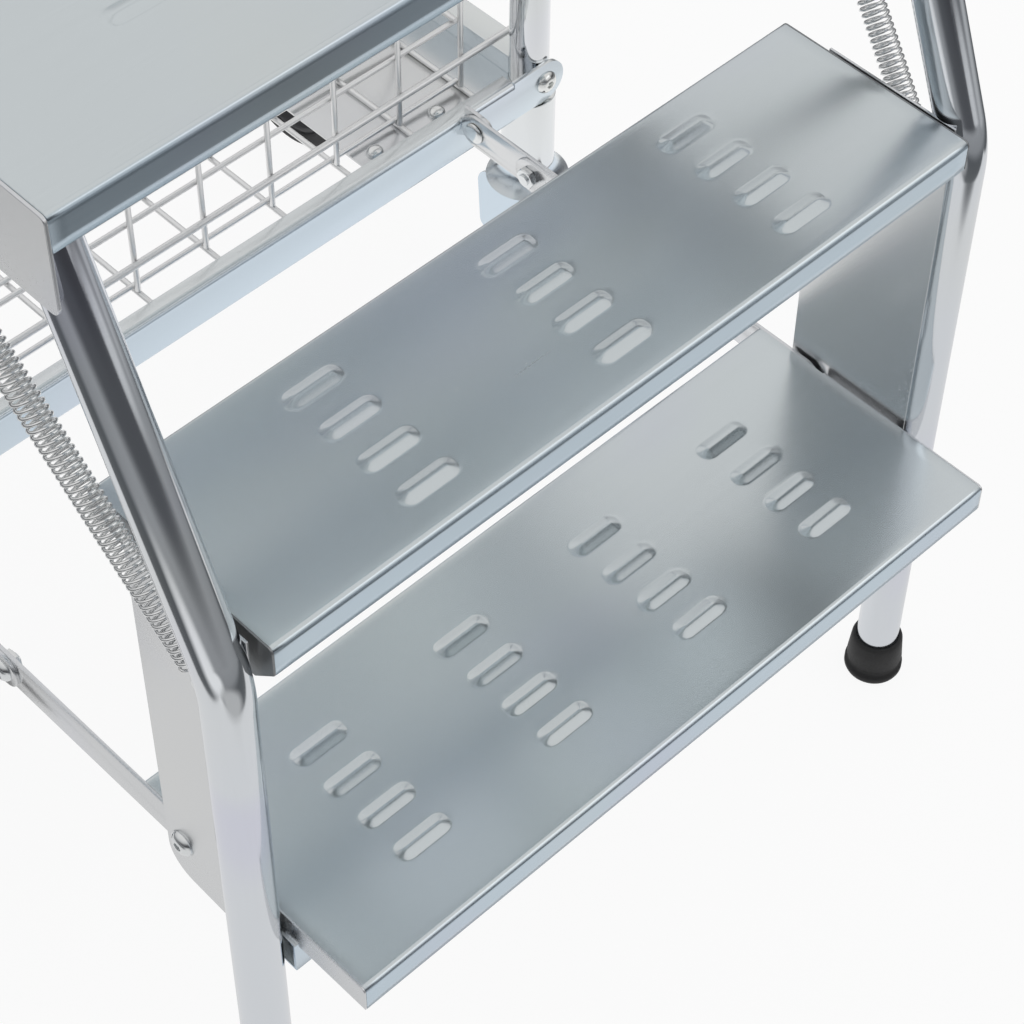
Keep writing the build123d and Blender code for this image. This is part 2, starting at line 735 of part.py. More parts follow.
# Swivel castors that trail towards the steps
wheel_r = wheel_d / 2
fork_inner = wheel_width / 2 + fork_gap
crown_z = wheel_d + crown_gap
race_z = crown_z + fork_thick
for end, y in ends.items():
    for side, sign in sides.items():
        x = sign * upright_x
        axle = (y - castor_trail, wheel_r)
        with BuildPart() as fork:
            for hand in (-1, 1):
                with BuildSketch(Plane.YZ.offset(x + hand * fork_inner)) as arm:
                    with Locations(axle):
                        Circle(fork_eye)
                    with Locations((y, crown_z)):
                        Rectangle(2 * fork_half_length, 2 * fork_thick)
                    with Locations((y + fork_heel_reach, fork_heel_height)):
                        Circle(fork_heel)
                    make_hull()
                    with Locations(axle):
                        Circle(axle_d / 2 + nest_gap, mode=Mode.SUBTRACT)
                extrude(arm.sketch, amount=hand * fork_thick)
            block((x - fork_inner, y - fork_half_length, crown_z), (x + fork_inner, y + fork_half_length, race_z))
            with Locations((x, y, race_z)):
                Cone(fork_half_length, race_top_d / 2, race_height, align=BASE)
            rod((x, y, race_z), (x, y, socket_shoulder), kingpin_d)
        keep(fork, f"castor_fork_{end}_{side}")

        with BuildPart() as axle_bolt:
            arm_outer = fork_inner + fork_thick
            rod((x - arm_outer, *axle), (x + arm_outer, *axle), axle_d)
            nut((x - arm_outer, *axle), (-1, 0, 0), axle_nut_d, nut_height)
            nut((x + arm_outer, *axle), (1, 0, 0), axle_nut_d, nut_height)
        keep(axle_bolt, f"castor_axle_{end}_{side}")

        rim_r = wheel_r - tyre_depth
        with BuildPart() as hub:
            boss = fork_inner - slack_gap
            rod((x - boss, *axle), (x + boss, *axle), hub_boss_d)
            rod((x - hub_web / 2, *axle), (x + hub_web / 2, *axle), 2 * rim_r)
            flat = wheel_width / 2 - fork_gap
            with BuildSketch(Plane.YZ.offset(x - flat)) as ring:
                with Locations(axle):
                    Circle(rim_r)
                    Circle(rim_r - hub_rim, mode=Mode.SUBTRACT)
            extrude(ring.sketch, amount=2 * flat)
            rod((x - boss, *axle), (x + boss, *axle), axle_d + 2 * running_gap, Mode.SUBTRACT)
        keep(hub, f"wheel_hub_{end}_{side}")

        with BuildPart() as tyre:
            rod((x - wheel_width / 2, *axle), (x + wheel_width / 2, *axle), wheel_d)
            chamfer(tyre.edges().filter_by(GeomType.CIRCLE), tyre_round)
            rod((x - wheel_width / 2, *axle), (x + wheel_width / 2, *axle), 2 * rim_r, Mode.SUBTRACT)
        keep(tyre, f"wheel_tyre_{end}_{side}")
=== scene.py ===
"""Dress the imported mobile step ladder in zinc-plated sheet, tube, wire and rubber."""
import logging
import math
from dataclasses import dataclass, field
from enum import Enum
from functools import cached_property
from typing import Callable, Mapping, Sequence

import bmesh
import bpy
import numpy as np
from mathutils import Matrix, Vector
from mathutils.geometry import convex_hull_2d


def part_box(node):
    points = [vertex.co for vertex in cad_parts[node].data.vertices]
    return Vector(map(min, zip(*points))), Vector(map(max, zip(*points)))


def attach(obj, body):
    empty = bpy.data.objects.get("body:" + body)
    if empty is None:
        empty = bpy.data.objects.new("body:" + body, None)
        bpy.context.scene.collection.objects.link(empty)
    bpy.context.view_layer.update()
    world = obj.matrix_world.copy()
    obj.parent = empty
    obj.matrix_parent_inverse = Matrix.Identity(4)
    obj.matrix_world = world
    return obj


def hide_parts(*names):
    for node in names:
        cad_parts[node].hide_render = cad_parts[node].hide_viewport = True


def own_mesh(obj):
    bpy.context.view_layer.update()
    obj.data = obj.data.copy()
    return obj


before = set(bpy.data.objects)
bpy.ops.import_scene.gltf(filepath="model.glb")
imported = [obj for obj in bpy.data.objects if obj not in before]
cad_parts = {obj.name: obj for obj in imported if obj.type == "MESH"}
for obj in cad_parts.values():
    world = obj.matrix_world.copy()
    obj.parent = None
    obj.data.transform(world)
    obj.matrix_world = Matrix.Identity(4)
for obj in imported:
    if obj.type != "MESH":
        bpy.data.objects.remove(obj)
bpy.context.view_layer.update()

log = logging.getLogger("step_ladder")

Piece = bpy.types.Object
Colour = tuple[float, float, float]
Stops = Sequence[tuple[float, Colour]]
Point = Sequence[float]
Spot = tuple[float, float]
Corner = tuple[float, float, float]

MM = 0.001
TUBE_D = 28 * MM
CAD_DIMPLE = 2.6 * MM
HEAD_SIDES = 36
PIN_SIDES = 24
CORNER_STEPS = 8
EDGE_ANGLE = 40
ACROSS = Vector((1, 0, 0))


class Body(Enum):
    """Rigid bodies of the ladder that pieces ride on."""

    TROLLEY = "trolley"
    PLATFORM = "platform"
    STEPS = "step_frame"
    STAYS = "stays"


class Side(Enum):
    """Left and right as seen by someone who faces the steps, with their directions along X."""

    LEFT = -1
    RIGHT = 1

    @property
    def word(self) -> str:
        """The side's word in node names."""
        return self.name.lower()


class Box:
    """Corners, middle and size of a CAD node."""

    def __init__(self, node: str) -> None:
        """Measure the node.

        Args:
            node: Name of the CAD node.
        """
        self.low, self.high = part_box(node)
        self.middle = (self.low + self.high) / 2
        self.size = self.high - self.low

    def ends(self, axis: int, inset: float) -> tuple[float, float]:
        """The two places along an axis that lie inside the box by an inset."""
        return self.low[axis] + inset, self.high[axis] - inset


# Shader maths


def operator(operation: str, reflected: bool = False) -> Callable[["Signal", "Term"], "Signal"]:
    """Make an operator of signals.

    Args:
        operation: What its Math node does.
        reflected: Whether the other value comes first.

    Returns:
        A method that adds the node.
    """

    def apply(signal: "Signal", other: "Term") -> "Signal":
        """Add one Math node."""
        pair = (other, signal) if reflected else (signal, other)
        return signal.shader.node("ShaderNodeMath", {"operation": operation}, dict(enumerate(pair)))

    return apply


class Signal:
    """An output socket that adds Math nodes when it is used in an expression."""

    __add__, __radd__ = operator("ADD"), operator("ADD", True)
    __sub__, __rsub__ = operator("SUBTRACT"), operator("SUBTRACT", True)
    __mul__, __rmul__ = operator("MULTIPLY"), operator("MULTIPLY", True)
    larger, smaller = operator("MAXIMUM"), operator("MINIMUM")

    def __init__(self, shader: "Shader", socket: bpy.types.NodeSocket | None) -> None:
        """Keep the socket and the shader it belongs to."""
        self.shader, self.socket = shader, socket

    def clipped(self) -> "Signal":
        """Limit the value to the range from 0 to 1."""
        return self.larger(0.0).smaller(1.0)

    def ramped(self, low: float, high: float) -> "Signal":
        """Stretch the values between low and high to the range from 0 to 1, and limit them to it."""
        return ((self - low) * (1.0 / (high - low))).clipped()


Term = Signal | int | float | Colour


class Shader:
    """A material or world node tree that is filled by one node-making method."""

    def __init__(self, tree: bpy.types.NodeTree) -> None:
        """Empty the tree."""
        self.tree = tree
        tree.nodes.clear()

    def node(
        self,
        kind: str,
        settings: Mapping[str, object] | None = None,
        sockets: Mapping[str | int, Term] | None = None,
        output: str | int = 0,
    ) -> Signal:
        """Add a node, set it up and link its sockets.

        Args:
            kind: Blender's type name of the node.
            settings: Properties set first; "stops" holds a ramp's (place, colour) pairs.
            sockets: Values or signals for the inputs, by name or number.
            output: The output to hand on.

        Returns:
            The chosen output as a signal.
        """
        made = self.tree.nodes.new(kind)
        for key, value in (settings or {}).items():
            if key == "stops":
                self.set_stops(made.color_ramp, value)
            else:
                setattr(made, key, value)
        for key, value in (sockets or {}).items():
            if isinstance(value, Signal):
                self.tree.links.new(value.socket, made.inputs[key])
            elif isinstance(value, tuple) and made.inputs[key].type == "RGBA":
                made.inputs[key].default_value = (*value, 1.0)
            else:
                made.inputs[key].default_value = value
        return Signal(self, made.outputs[output] if made.outputs else None)

    @staticmethod
    def set_stops(ramp: bpy.types.ColorRamp, stops: Stops) -> None:
        """Give a colour ramp its stops.

        Args:
            ramp: The ramp.
            stops: Its places and colours.
        """
        while len(ramp.elements) > 1:
            ramp.elements.remove(ramp.elements[-1])
        for index, (place, colour) in enumerate(stops):
            stop = ramp.elements[0] if index == 0 else ramp.elements.new(place)
            stop.position = place
            stop.color = (*colour, 1.0)

    def coordinate(self, kind: str) -> Signal:
        """Texture coordinates of one kind, Object ones in metres."""
        return self.node("ShaderNodeTexCoord", output=kind)

    def axis(self, vector: Signal, index: int) -> Signal:
        """One coordinate of a vector."""
        return self.node("ShaderNodeSeparateXYZ", None, {0: vector}, index)

    def vector(self, operation: str, *terms: Term, output: str = "Vector") -> Signal:
        """Vector maths on one or two terms."""
        return self.node("ShaderNodeVectorMath", {"operation": operation}, dict(enumerate(terms)), output)

    def noise(self, place: Signal, scale: float, detail: float, rough: float = 0.5) -> Signal:
        """Smooth noise between 0 and 1."""
        sockets = {"Vector": place, "Scale": scale, "Detail": detail, "Roughness": rough}
        return self.node("ShaderNodeTexNoise", None, sockets)

    def mixed(self, share: Term, first: Term, second: Term) -> Signal:
        """Mix two colours."""
        return self.node("ShaderNodeMix", {"data_type": "RGBA"}, {0: share, 6: first, 7: second}, 2)

    def bump(self, height: Signal, strength: float, distance: float) -> Signal:
        """A normal that follows a height."""
        return self.node("ShaderNodeBump", None, {"Strength": strength, "Distance": distance, "Height": height})

    def principled(self, sockets: Mapping[str, Term]) -> Signal:
        """A surface with all its qualities in one node."""
        return self.node("ShaderNodeBsdfPrincipled", None, sockets)

    def ray(self, kind: str) -> Signal:
        """Whether the ray that meets the surface is of a kind."""
        return self.node("ShaderNodeLightPath", output=f"Is {kind} Ray")


# Finishes


@dataclass(frozen=True)
class Finish:
    """A surface's look: its name, the record's material slot and one material."""

    name: str
    slot: str

    def surface(self, shader: Shader) -> Signal:
        """Fill the material's shader and give its surface."""
        raise NotImplementedError

    @cached_property
    def material(self) -> bpy.types.Material:
        """The material, made when it is first asked for.

        Returns:
            A material that this finish has filled.
        """
        made = bpy.data.materials.new(self.name)
        made.use_nodes = True
        shader = Shader(made.node_tree)
        shader.node("ShaderNodeOutputMaterial", None, {"Surface": self.surface(shader)})
        return made


@dataclass(frozen=True)
class ZincFinish(Finish):
    """Bright zinc plate: cloudy, faintly tinted, with drawn or rolled streaks, and bluer on upright folds as a
    painted sheen.
    """

    base: Colour
    # Painted sheen: the bluer colour laid on faces that stand upright
    upright_sheen: Colour
    violet: Colour
    warm: Colour
    rough_low: float
    rough_high: float
    streak: Colour = (1.0, 40.0, 40.0)
    tint: float = 0.5
    grain: float = 0.004
    cloud_scale: float = 4.0
    bloom: Colour = (1.0, 1.7, 1.3)
    bloom_scale: float = 6.4
    streak_scale: float = 12.0
    speck_scale: float = 900.0
    soil: float = 0.66
    relief: float = 0.6 * MM
    # Ramp from level to upright faces for the painted sheen
    level_range: Spot = (0.15, 0.75)
    violet_range: Spot = (0.52, 0.74)
    warm_range: Spot = (0.30, 0.48)
    cloud_range: Spot = (0.3, 0.7)
    streak_range: Spot = (0.2, 0.8)
    soil_range: Spot = (0.25, 0.8)
    speck_range: Spot = (0.3, 0.7)
    violet_level: float = 0.6
    warm_share: float = 0.6
    streak_shade: float = 0.04
    speck_shade: float = 0.03
    rough_shares: Colour = (0.3, 0.5, 0.2)
    bump_shares: Spot = (0.6, 0.4)

    def surface(self, shader: Shader) -> Signal:
        """Lay the tints with the painted sheen of upright faces, the clouds, streaks and specks.

        Args:
            shader: The material's shader.

        Returns:
            The surface.
        """
        place = shader.coordinate("Object")
        cloud = shader.noise(place, self.cloud_scale, detail=2.0)
        bloom = shader.noise(shader.vector("MULTIPLY", place, self.bloom), self.bloom_scale, detail=1.5)
        drawn_out = shader.vector("MULTIPLY", place, self.streak)
        streaks = shader.noise(drawn_out, self.streak_scale, detail=4.0, rough=0.6)
        specks = shader.noise(place, self.speck_scale, detail=2.0)
        # Painted sheen: by how each face turns, upright faces get the bluer upright colour and level faces fewer
        # violet clouds; the clouds themselves are the plate's own random tint
        rise = shader.axis(shader.coordinate("Normal"), 2)
        level = (rise * rise).ramped(*self.level_range)
        violet = bloom.ramped(*self.violet_range) * (1.0 - level * self.violet_level) * self.tint
        warm = (1.0 - cloud.ramped(*self.warm_range)) * (self.tint * self.warm_share)
        shade = streaks.ramped(*self.soil_range) * self.streak_shade
        shade = shade + specks.ramped(*self.speck_range) * self.speck_shade
        colour = shader.mixed(level, self.upright_sheen, self.base)
        colour = shader.mixed(violet, colour, self.violet)
        colour = shader.mixed(warm, colour, self.warm)
        colour = shader.mixed(shade, colour, tuple(c * self.soil for c in self.base))
        drawn, cloudy, fine = self.rough_shares
        rough = streaks.ramped(*self.streak_range) * drawn + cloud.ramped(*self.cloud_range) * cloudy
        rough = rough + specks * fine
        rough = rough * (self.rough_high - self.rough_low) + self.rough_low
        height = streaks * self.bump_shares[0] + specks * self.bump_shares[1]
        normal = shader.bump(height, self.grain, self.relief)
        return shader.principled({"Base Color": colour, "Metallic": 1.0, "Roughness": rough, "Normal": normal})


@dataclass(frozen=True)
class RubberFinish(Finish):
    """Moulded rubber or plastic with a fine matt grain and a little dust."""

    base: Colour
    dust: Colour
    rough: float
    dust_share: float = 0.25
    dust_range: Spot = (0.45, 0.8)
    grain_rough: float = 0.2
    dust_rough: float = 0.1
    patch_scale: float = 30.0
    grain_scale: float = 700.0
    grain: float = 0.25
    relief: float = 0.4 * MM

    def surface(self, shader: Shader) -> Signal:
        """Lay the dust and the grain.

        Args:
            shader: The material's shader.

        Returns:
            The surface.
        """
        place = shader.coordinate("Object")
        patches = shader.noise(place, self.patch_scale, detail=4.0)
        grain = shader.noise(place, self.grain_scale, detail=2.0)
        colour = shader.mixed(patches.ramped(*self.dust_range) * self.dust_share, self.base, self.dust)
        rough = ((grain - 0.5) * self.grain_rough + patches * self.dust_rough + self.rough).clipped()
        normal = shader.bump(grain, self.grain, self.relief)
        return shader.principled({"Base Color": colour, "Roughness": rough, "Normal": normal})


# The second colour of each zinc finish is the painted sheen of its upright faces
SHEET = ZincFinish(
    "zinc_tread_sheet", "zinc_sheet",
    (0.73, 0.78, 0.80), (0.64, 0.75, 0.84), (0.68, 0.68, 0.84), (0.75, 0.78, 0.75), 0.17, 0.29,
)
PLATE = ZincFinish(
    "zinc_flat_plate", "zinc_sheet",
    (0.79, 0.80, 0.82), (0.78, 0.79, 0.80), (0.73, 0.75, 0.84), (0.79, 0.79, 0.75), 0.20, 0.32,
)
# Darker, rougher zinc, laid only on the upper end plates
DARK_ZINC = ZincFinish(
    "zinc_darker_plate", "zinc_sheet",
    (0.34, 0.35, 0.36), (0.30, 0.31, 0.32), (0.30, 0.30, 0.34), (0.30, 0.29, 0.27), 0.28, 0.50,
    streak=(30.0, 30.0, 30.0), grain=0.35,
)
FOLD = ZincFinish(
    "zinc_folded_channel", "zinc_pressing",
    (0.84, 0.87, 0.88), (0.68, 0.78, 0.87), (0.73, 0.73, 0.88), (0.82, 0.83, 0.79), 0.18, 0.30,
)
TUBE = ZincFinish(
    "zinc_round_tube", "zinc_tube",
    (0.82, 0.84, 0.87), (0.79, 0.82, 0.86), (0.73, 0.73, 0.87), (0.82, 0.83, 0.79), 0.07, 0.15,
    streak=(60.0, 60.0, 2.0), tint=0.85,
)
WIRE = ZincFinish(
    "zinc_basket_wire", "zinc_wire",
    (0.93, 0.93, 0.93), (0.93, 0.93, 0.93), (0.90, 0.90, 0.93), (0.93, 0.93, 0.91), 0.30, 0.44,
)
SPRING = ZincFinish(
    "zinc_spring_wire", "spring_steel",
    (0.92, 0.92, 0.92), (0.91, 0.92, 0.92), (0.88, 0.88, 0.92), (0.92, 0.92, 0.88), 0.10, 0.18,
)
BOLT = ZincFinish(
    "zinc_fastener", "zinc_fastener",
    (0.87, 0.88, 0.88), (0.84, 0.86, 0.87), (0.79, 0.79, 0.84), (0.87, 0.86, 0.79), 0.14, 0.26,
)
FOOT = RubberFinish("black_foot_rubber", "black_rubber", (0.012, 0.012, 0.013), (0.08, 0.08, 0.08), 0.55)
TYRE = RubberFinish("castor_tyre_rubber", "wheel_rubber", (0.022, 0.022, 0.024), (0.10, 0.10, 0.10), 0.6)
HUB = RubberFinish("castor_hub_plastic", "hub_plastic", (0.05, 0.05, 0.055), (0.12, 0.12, 0.12), 0.42, 0.15)
CAP = RubberFinish("post_cap_plastic", "cap_plastic", (0.02, 0.02, 0.022), (0.08, 0.08, 0.08), 0.45, 0.1)


# Mesh making


def set_modifier(piece: Piece, kind: str, **settings: object) -> None:
    """Add a modifier.

    Args:
        piece: The piece that gets it.
        kind: Blender's type name of the modifier.
        settings: Its settings.
    """
    made = piece.modifiers.new(kind.lower(), kind)
    for key, value in settings.items():
        setattr(made, key, value)


def bevel(piece: Piece, width: float, angle: float, segments: int = 2, **settings: object) -> None:
    """Add a bevel on the edges that turn by more than an angle in degrees."""
    settings |= {"width": width, "segments": segments, "angle_limit": math.radians(angle)}
    set_modifier(piece, "BEVEL", limit_method="ANGLE", **settings)


def apply_modifiers(piece: Piece) -> None:
    """Replace a piece's mesh by its mesh with all modifiers applied.

    Args:
        piece: The piece, which is left with no modifiers.
    """
    graph = bpy.context.evaluated_depsgraph_get()
    graph.update()
    mesh = bpy.data.meshes.new_from_object(piece.evaluated_get(graph))
    piece.modifiers.clear()
    piece.data = mesh


@dataclass
class Shell:
    """Points and faces of a surface in the making."""

    points: np.ndarray = field(default_factory=lambda: np.zeros((0, 3)))
    faces: list[tuple[int, ...]] = field(default_factory=list)

    def __add__(self, other: "Shell") -> "Shell":
        """Both surfaces as one."""
        moved = [tuple(i + len(self.points) for i in face) for face in other.faces]
        return Shell(np.vstack([self.points, other.points]), self.faces + moved)

    def at(self, *place: float) -> "Shell":
        """The surface moved to a place."""
        return Shell(self.points + place, self.faces)

    def aimed(self, origin: Point, way: Point) -> "Shell":
        """The surface with its Z along a way, at an origin."""
        turn = np.array(Vector(way).to_track_quat("Z", "Y").to_matrix())
        return Shell(self.points @ turn.T + np.array(origin), self.faces)

    def piece(self, name: str, edge: float = 0.0) -> Piece:
        """Make a smooth Blender object of the surface.

        Args:
            name: Name of the object.
            edge: Width of a closed surface's broken edges, or 0 to leave it as it is.

        Returns:
            The new object, linked to the scene.
        """
        mesh = bpy.data.meshes.new(name)
        mesh.from_pydata(self.points.tolist(), [], self.faces)
        mesh.validate()
        mesh.polygons.foreach_set("use_smooth", [True] * len(mesh.polygons))
        mesh.update()
        made = bpy.data.objects.new(name, mesh)
        bpy.context.scene.collection.objects.link(made)
        if edge:
            graph = bmesh.new()
            graph.from_mesh(mesh)
            bmesh.ops.recalc_face_normals(graph, faces=graph.faces)
            graph.to_mesh(mesh)
            graph.free()
            bevel(made, edge, EDGE_ANGLE)
            set_modifier(made, "WEIGHTED_NORMAL", keep_sharp=True)
            apply_modifiers(made)
        return made

    @staticmethod
    def grid(rows: np.ndarray, wrap: bool = False, caps: tuple[bool, bool] = (False, False)) -> "Shell":
        """A surface through a grid of points.

        Args:
            rows: Points as an array of rows, columns and three coordinates.
            wrap: Whether the last column joins the first.
            caps: Whether a face closes the first row and the last row.

        Returns:
            The surface, in quads but for the caps.
        """
        count, width = rows.shape[:2]
        faces = []
        for start in range(0, (count - 1) * width, width):
            for c in range(width if wrap else width - 1):
                right = (c + 1) % width
                faces.append((start + c, start + right, start + width + right, start + width + c))
        ends = (range(width - 1, -1, -1), range((count - 1) * width, count * width))
        faces += [tuple(end) for end, closed in zip(ends, caps) if closed]
        return Shell(rows.reshape(-1, 3), faces)

    @staticmethod
    def prism(line: Sequence[Spot], low: float, high: float) -> "Shell":
        """A plate: an outline across Y and Z that runs along X and is closed at both ends."""
        return Shell.grid(np.array([[(x, u, v) for u, v in line] for x in (low, high)]), True, (True, True))

    @staticmethod
    def lathe(profile: Sequence[tuple[float, ...]], sides: int = 48) -> "Shell":
        """A surface turned about Z.

        Args:
            profile: (radius, height) pairs from one end to the other; a third value gives a ring flats.
            sides: Number of sides.

        Returns:
            The surface, with a face over an end whose radius is 0.
        """
        angles = np.linspace(0, 2 * math.pi, sides, endpoint=False)
        rows = []
        for radius, height, *flats in (ring for ring in profile if ring[0]):
            reach = np.full(sides, radius)
            if flats:
                step = 2 * math.pi / flats[0]
                reach *= math.cos(step / 2) / np.cos(np.mod(angles, step) - step / 2)
            rows.append(np.stack([reach * np.cos(angles), reach * np.sin(angles), np.full(sides, height)], axis=1))
        return Shell.grid(np.array(rows), True, (not profile[0][0], not profile[-1][0]))

    @staticmethod
    def tube(path: Sequence[Point], radius: float, sides: int = 24) -> "Shell":
        """A round bar that follows a path.

        Args:
            path: Points of its middle line.
            radius: Radius of the bar.
            sides: Number of sides.

        Returns:
            The surface, with flat ends.
        """
        line = np.array(path, float)
        ways = np.gradient(line, axis=0)
        ways /= np.linalg.norm(ways, axis=1)[:, None]
        across = np.cross(ways[0], (0.0, 0.0, 1.0) if abs(ways[0][2]) < 0.9 else (1.0, 0.0, 0.0))
        angles = np.linspace(0, 2 * math.pi, sides, endpoint=False)
        rows = np.zeros((len(line), sides, 3))
        for index, (middle, way) in enumerate(zip(line, ways)):
            across = across - way * np.dot(across, way)
            across /= np.linalg.norm(across)
            spokes = np.outer(np.cos(angles), across) + np.outer(np.sin(angles), np.cross(way, across))
            rows[index] = middle + radius * spokes
        return Shell.grid(rows, True, (True, True))


def rounded(corners: Sequence[Point], radii: Sequence[float], steps: int) -> list[Vector]:
    """Straight runs joined by round bends.

    Args:
        corners: The line's corners in order, the last one next to the first.
        radii: Bend radius at each corner, 0 where it is sharp or an end.
        steps: Number of chords on each bend.

    Returns:
        Points along the line.
    """
    spots = [Vector(c) for c in corners]
    line = []
    for before, corner, after, radius in zip(spots[-1:] + spots, spots, spots[1:] + spots[:1], radii):
        if not radius:
            line.append(corner)
            continue
        back, ahead = (before - corner).normalized(), (after - corner).normalized()
        half = back.angle(ahead) / 2
        reach = radius / math.tan(half)
        centre = corner + (back + ahead).normalized() * (radius / math.sin(half))
        first, last = corner + back * reach - centre, corner + ahead * reach - centre
        sweep = first.angle(last)
        for share in np.linspace(0.0, 1.0, steps + 1):
            spoke = first * math.sin((1 - share) * sweep) + last * math.sin(share * sweep)
            line.append(centre + spoke / math.sin(sweep))
    return line


def outline(*corners: Corner) -> list[Spot]:
    """A closed outline from each corner's two coordinates and its radius, 0 where it is sharp."""
    line = rounded([(u, v, 0.0) for u, v, _ in corners], [radius for _, _, radius in corners], CORNER_STEPS)
    return [(p.x, p.y) for p in line]


def circle(u: float, v: float, radius: float, sides: int = 40) -> list[Spot]:
    """Points round a circle."""
    turns = np.linspace(0, 2 * math.pi, sides, endpoint=False)
    return [(u + radius * math.cos(a), v + radius * math.sin(a)) for a in turns]


def lines_about(middle: float, pitch: float, count: int) -> list[float]:
    """Evenly spaced places about a middle."""
    return [middle + (index - (count - 1) / 2) * pitch for index in range(count)]


def dress(piece: Piece, finish: Finish) -> None:
    """Give a piece one finish."""
    piece.data.materials.clear()
    piece.data.materials.append(finish.material)


def settle(piece: Piece, body: str, finish: Finish, node: str) -> None:
    """Dress a new piece, let it ride on its body and stand for its CAD node.

    Args:
        piece: The finished piece.
        body: Name of the body that it moves with.
        finish: Its finish.
        node: The CAD node that it stands for.
    """
    dress(piece, finish)
    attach(piece, body)
    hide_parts(node)
    log.info("%s stands for %s", piece.name, node)


# Sub-assemblies


@dataclass
class DimpleField:
    """Rounded raised dimples on a sheet, in rows from front to back."""

    columns: Sequence[float]
    rows: Sequence[float]
    length: float = 38 * MM
    width: float = 14 * MM
    height: float = 2.3 * MM
    ridge: float = 0.22
    margin: float = 1.0 * MM
    coarse: float = 9 * MM
    fine_x: float = 1.3 * MM
    fine_y: float = 0.9 * MM

    def lift(self, x: np.ndarray, y: np.ndarray) -> np.ndarray:
        """Height of the sheet above its flat at each place.

        Args:
            x: Places along X.
            y: Places along Y.

        Returns:
            Heights, in metres.
        """
        raised = np.zeros(np.broadcast(x, y).shape)
        straight = (self.length - self.width) / 2
        foot = math.hypot(1.0, self.ridge)
        for column in self.columns:
            for row in self.rows:
                beyond = np.maximum(np.abs(x - column) - straight, 0.0)
                share = np.hypot(beyond, y - row) / (self.width / 2)
                slope = (foot - np.hypot(share, self.ridge)) / (foot - self.ridge)
                raised = np.maximum(raised, self.height * slope)
        return raised

    def lines(self, low: float, high: float, along_x: bool) -> np.ndarray:
        """Grid lines that are close together on the dimples and wide apart elsewhere.

        Args:
            low: First line.
            high: Last line.
            along_x: Whether the lines are places along X.

        Returns:
            Sorted places.
        """
        spots, size, fine = self.rows, self.width, self.fine_y
        if along_x:
            spots, size, fine = self.columns, self.length, self.fine_x
        half = size / 2 + self.margin
        places = [np.linspace(low, high, int((high - low) / self.coarse) + 2)]
        places += [np.arange(spot - half, spot + half, fine) for spot in spots]
        merged = np.unique(np.concatenate(places).round(6))
        keep = [merged[0]]
        for place in merged[1:-1]:
            if min(place - keep[-1], high - place) > fine / 2:
                keep.append(place)
        return np.array(keep + [high])


@dataclass
class Tread:
    """A step's sheet: flat top with dimples, folded down at the front and the back."""

    node: str
    dimples: DimpleField
    body: Body = Body.STEPS
    lip: float = 19.5 * MM
    seam: float = -0.35 * MM
    sheet: float = 2.0 * MM
    fold: float = 3.6 * MM
    fold_angle: float = 60
    fold_steps: int = 4
    lip_rows: int = 4

    def build(self) -> None:
        """Make the tread and put it in place of its CAD node."""
        box = Box(self.node)
        front, back, top = box.low.y, box.high.y, box.high.z - CAD_DIMPLE
        x = self.dimples.lines(*box.ends(0, self.seam), True)
        y = self.dimples.lines(front, back, False)
        drops = np.linspace(self.lip, 0.0, self.lip_rows, endpoint=False)
        profile = [(front, top - d) for d in drops] + [(p, top) for p in y]
        profile += [(back, top - d) for d in drops[::-1]]
        rows = np.array([[(p, q, r) for p in x] for q, r in profile])
        rows[self.lip_rows:-self.lip_rows, :, 2] += self.dimples.lift(x[None, :], y[:, None])
        piece = Shell.grid(rows).piece(f"{self.node}_sheet")
        bevel(piece, self.fold, self.fold_angle, self.fold_steps)
        set_modifier(piece, "SOLIDIFY", thickness=self.sheet, offset=-1.0)
        set_modifier(piece, "WEIGHTED_NORMAL", keep_sharp=True)
        apply_modifiers(piece)
        settle(piece, self.body.value, SHEET, self.node)


@dataclass
class Skirts:
    """The platform's deep side plates, with a thin seam to its tray."""

    node: str = "platform_deck"
    sheet: float = 2.0 * MM
    fold: float = 3.4 * MM
    corner: float = 6 * MM
    sink: float = 0.3 * MM
    edge: float = 0.35 * MM

    def build(self) -> None:
        """Make both skirts and put them in place of the platform's CAD node."""
        low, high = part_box(self.node)
        top = high.z - CAD_DIMPLE - self.sink
        line = outline(
            (low.y, low.z, self.corner), (low.y, top, self.fold),
            (high.y, top, self.fold), (high.y, low.z, self.corner),
        )
        shell = Shell.prism(line, low.x, low.x + self.sheet) + Shell.prism(line, high.x - self.sheet, high.x)
        settle(shell.piece("platform_skirts", self.edge), Body.PLATFORM.value, PLATE, self.node)


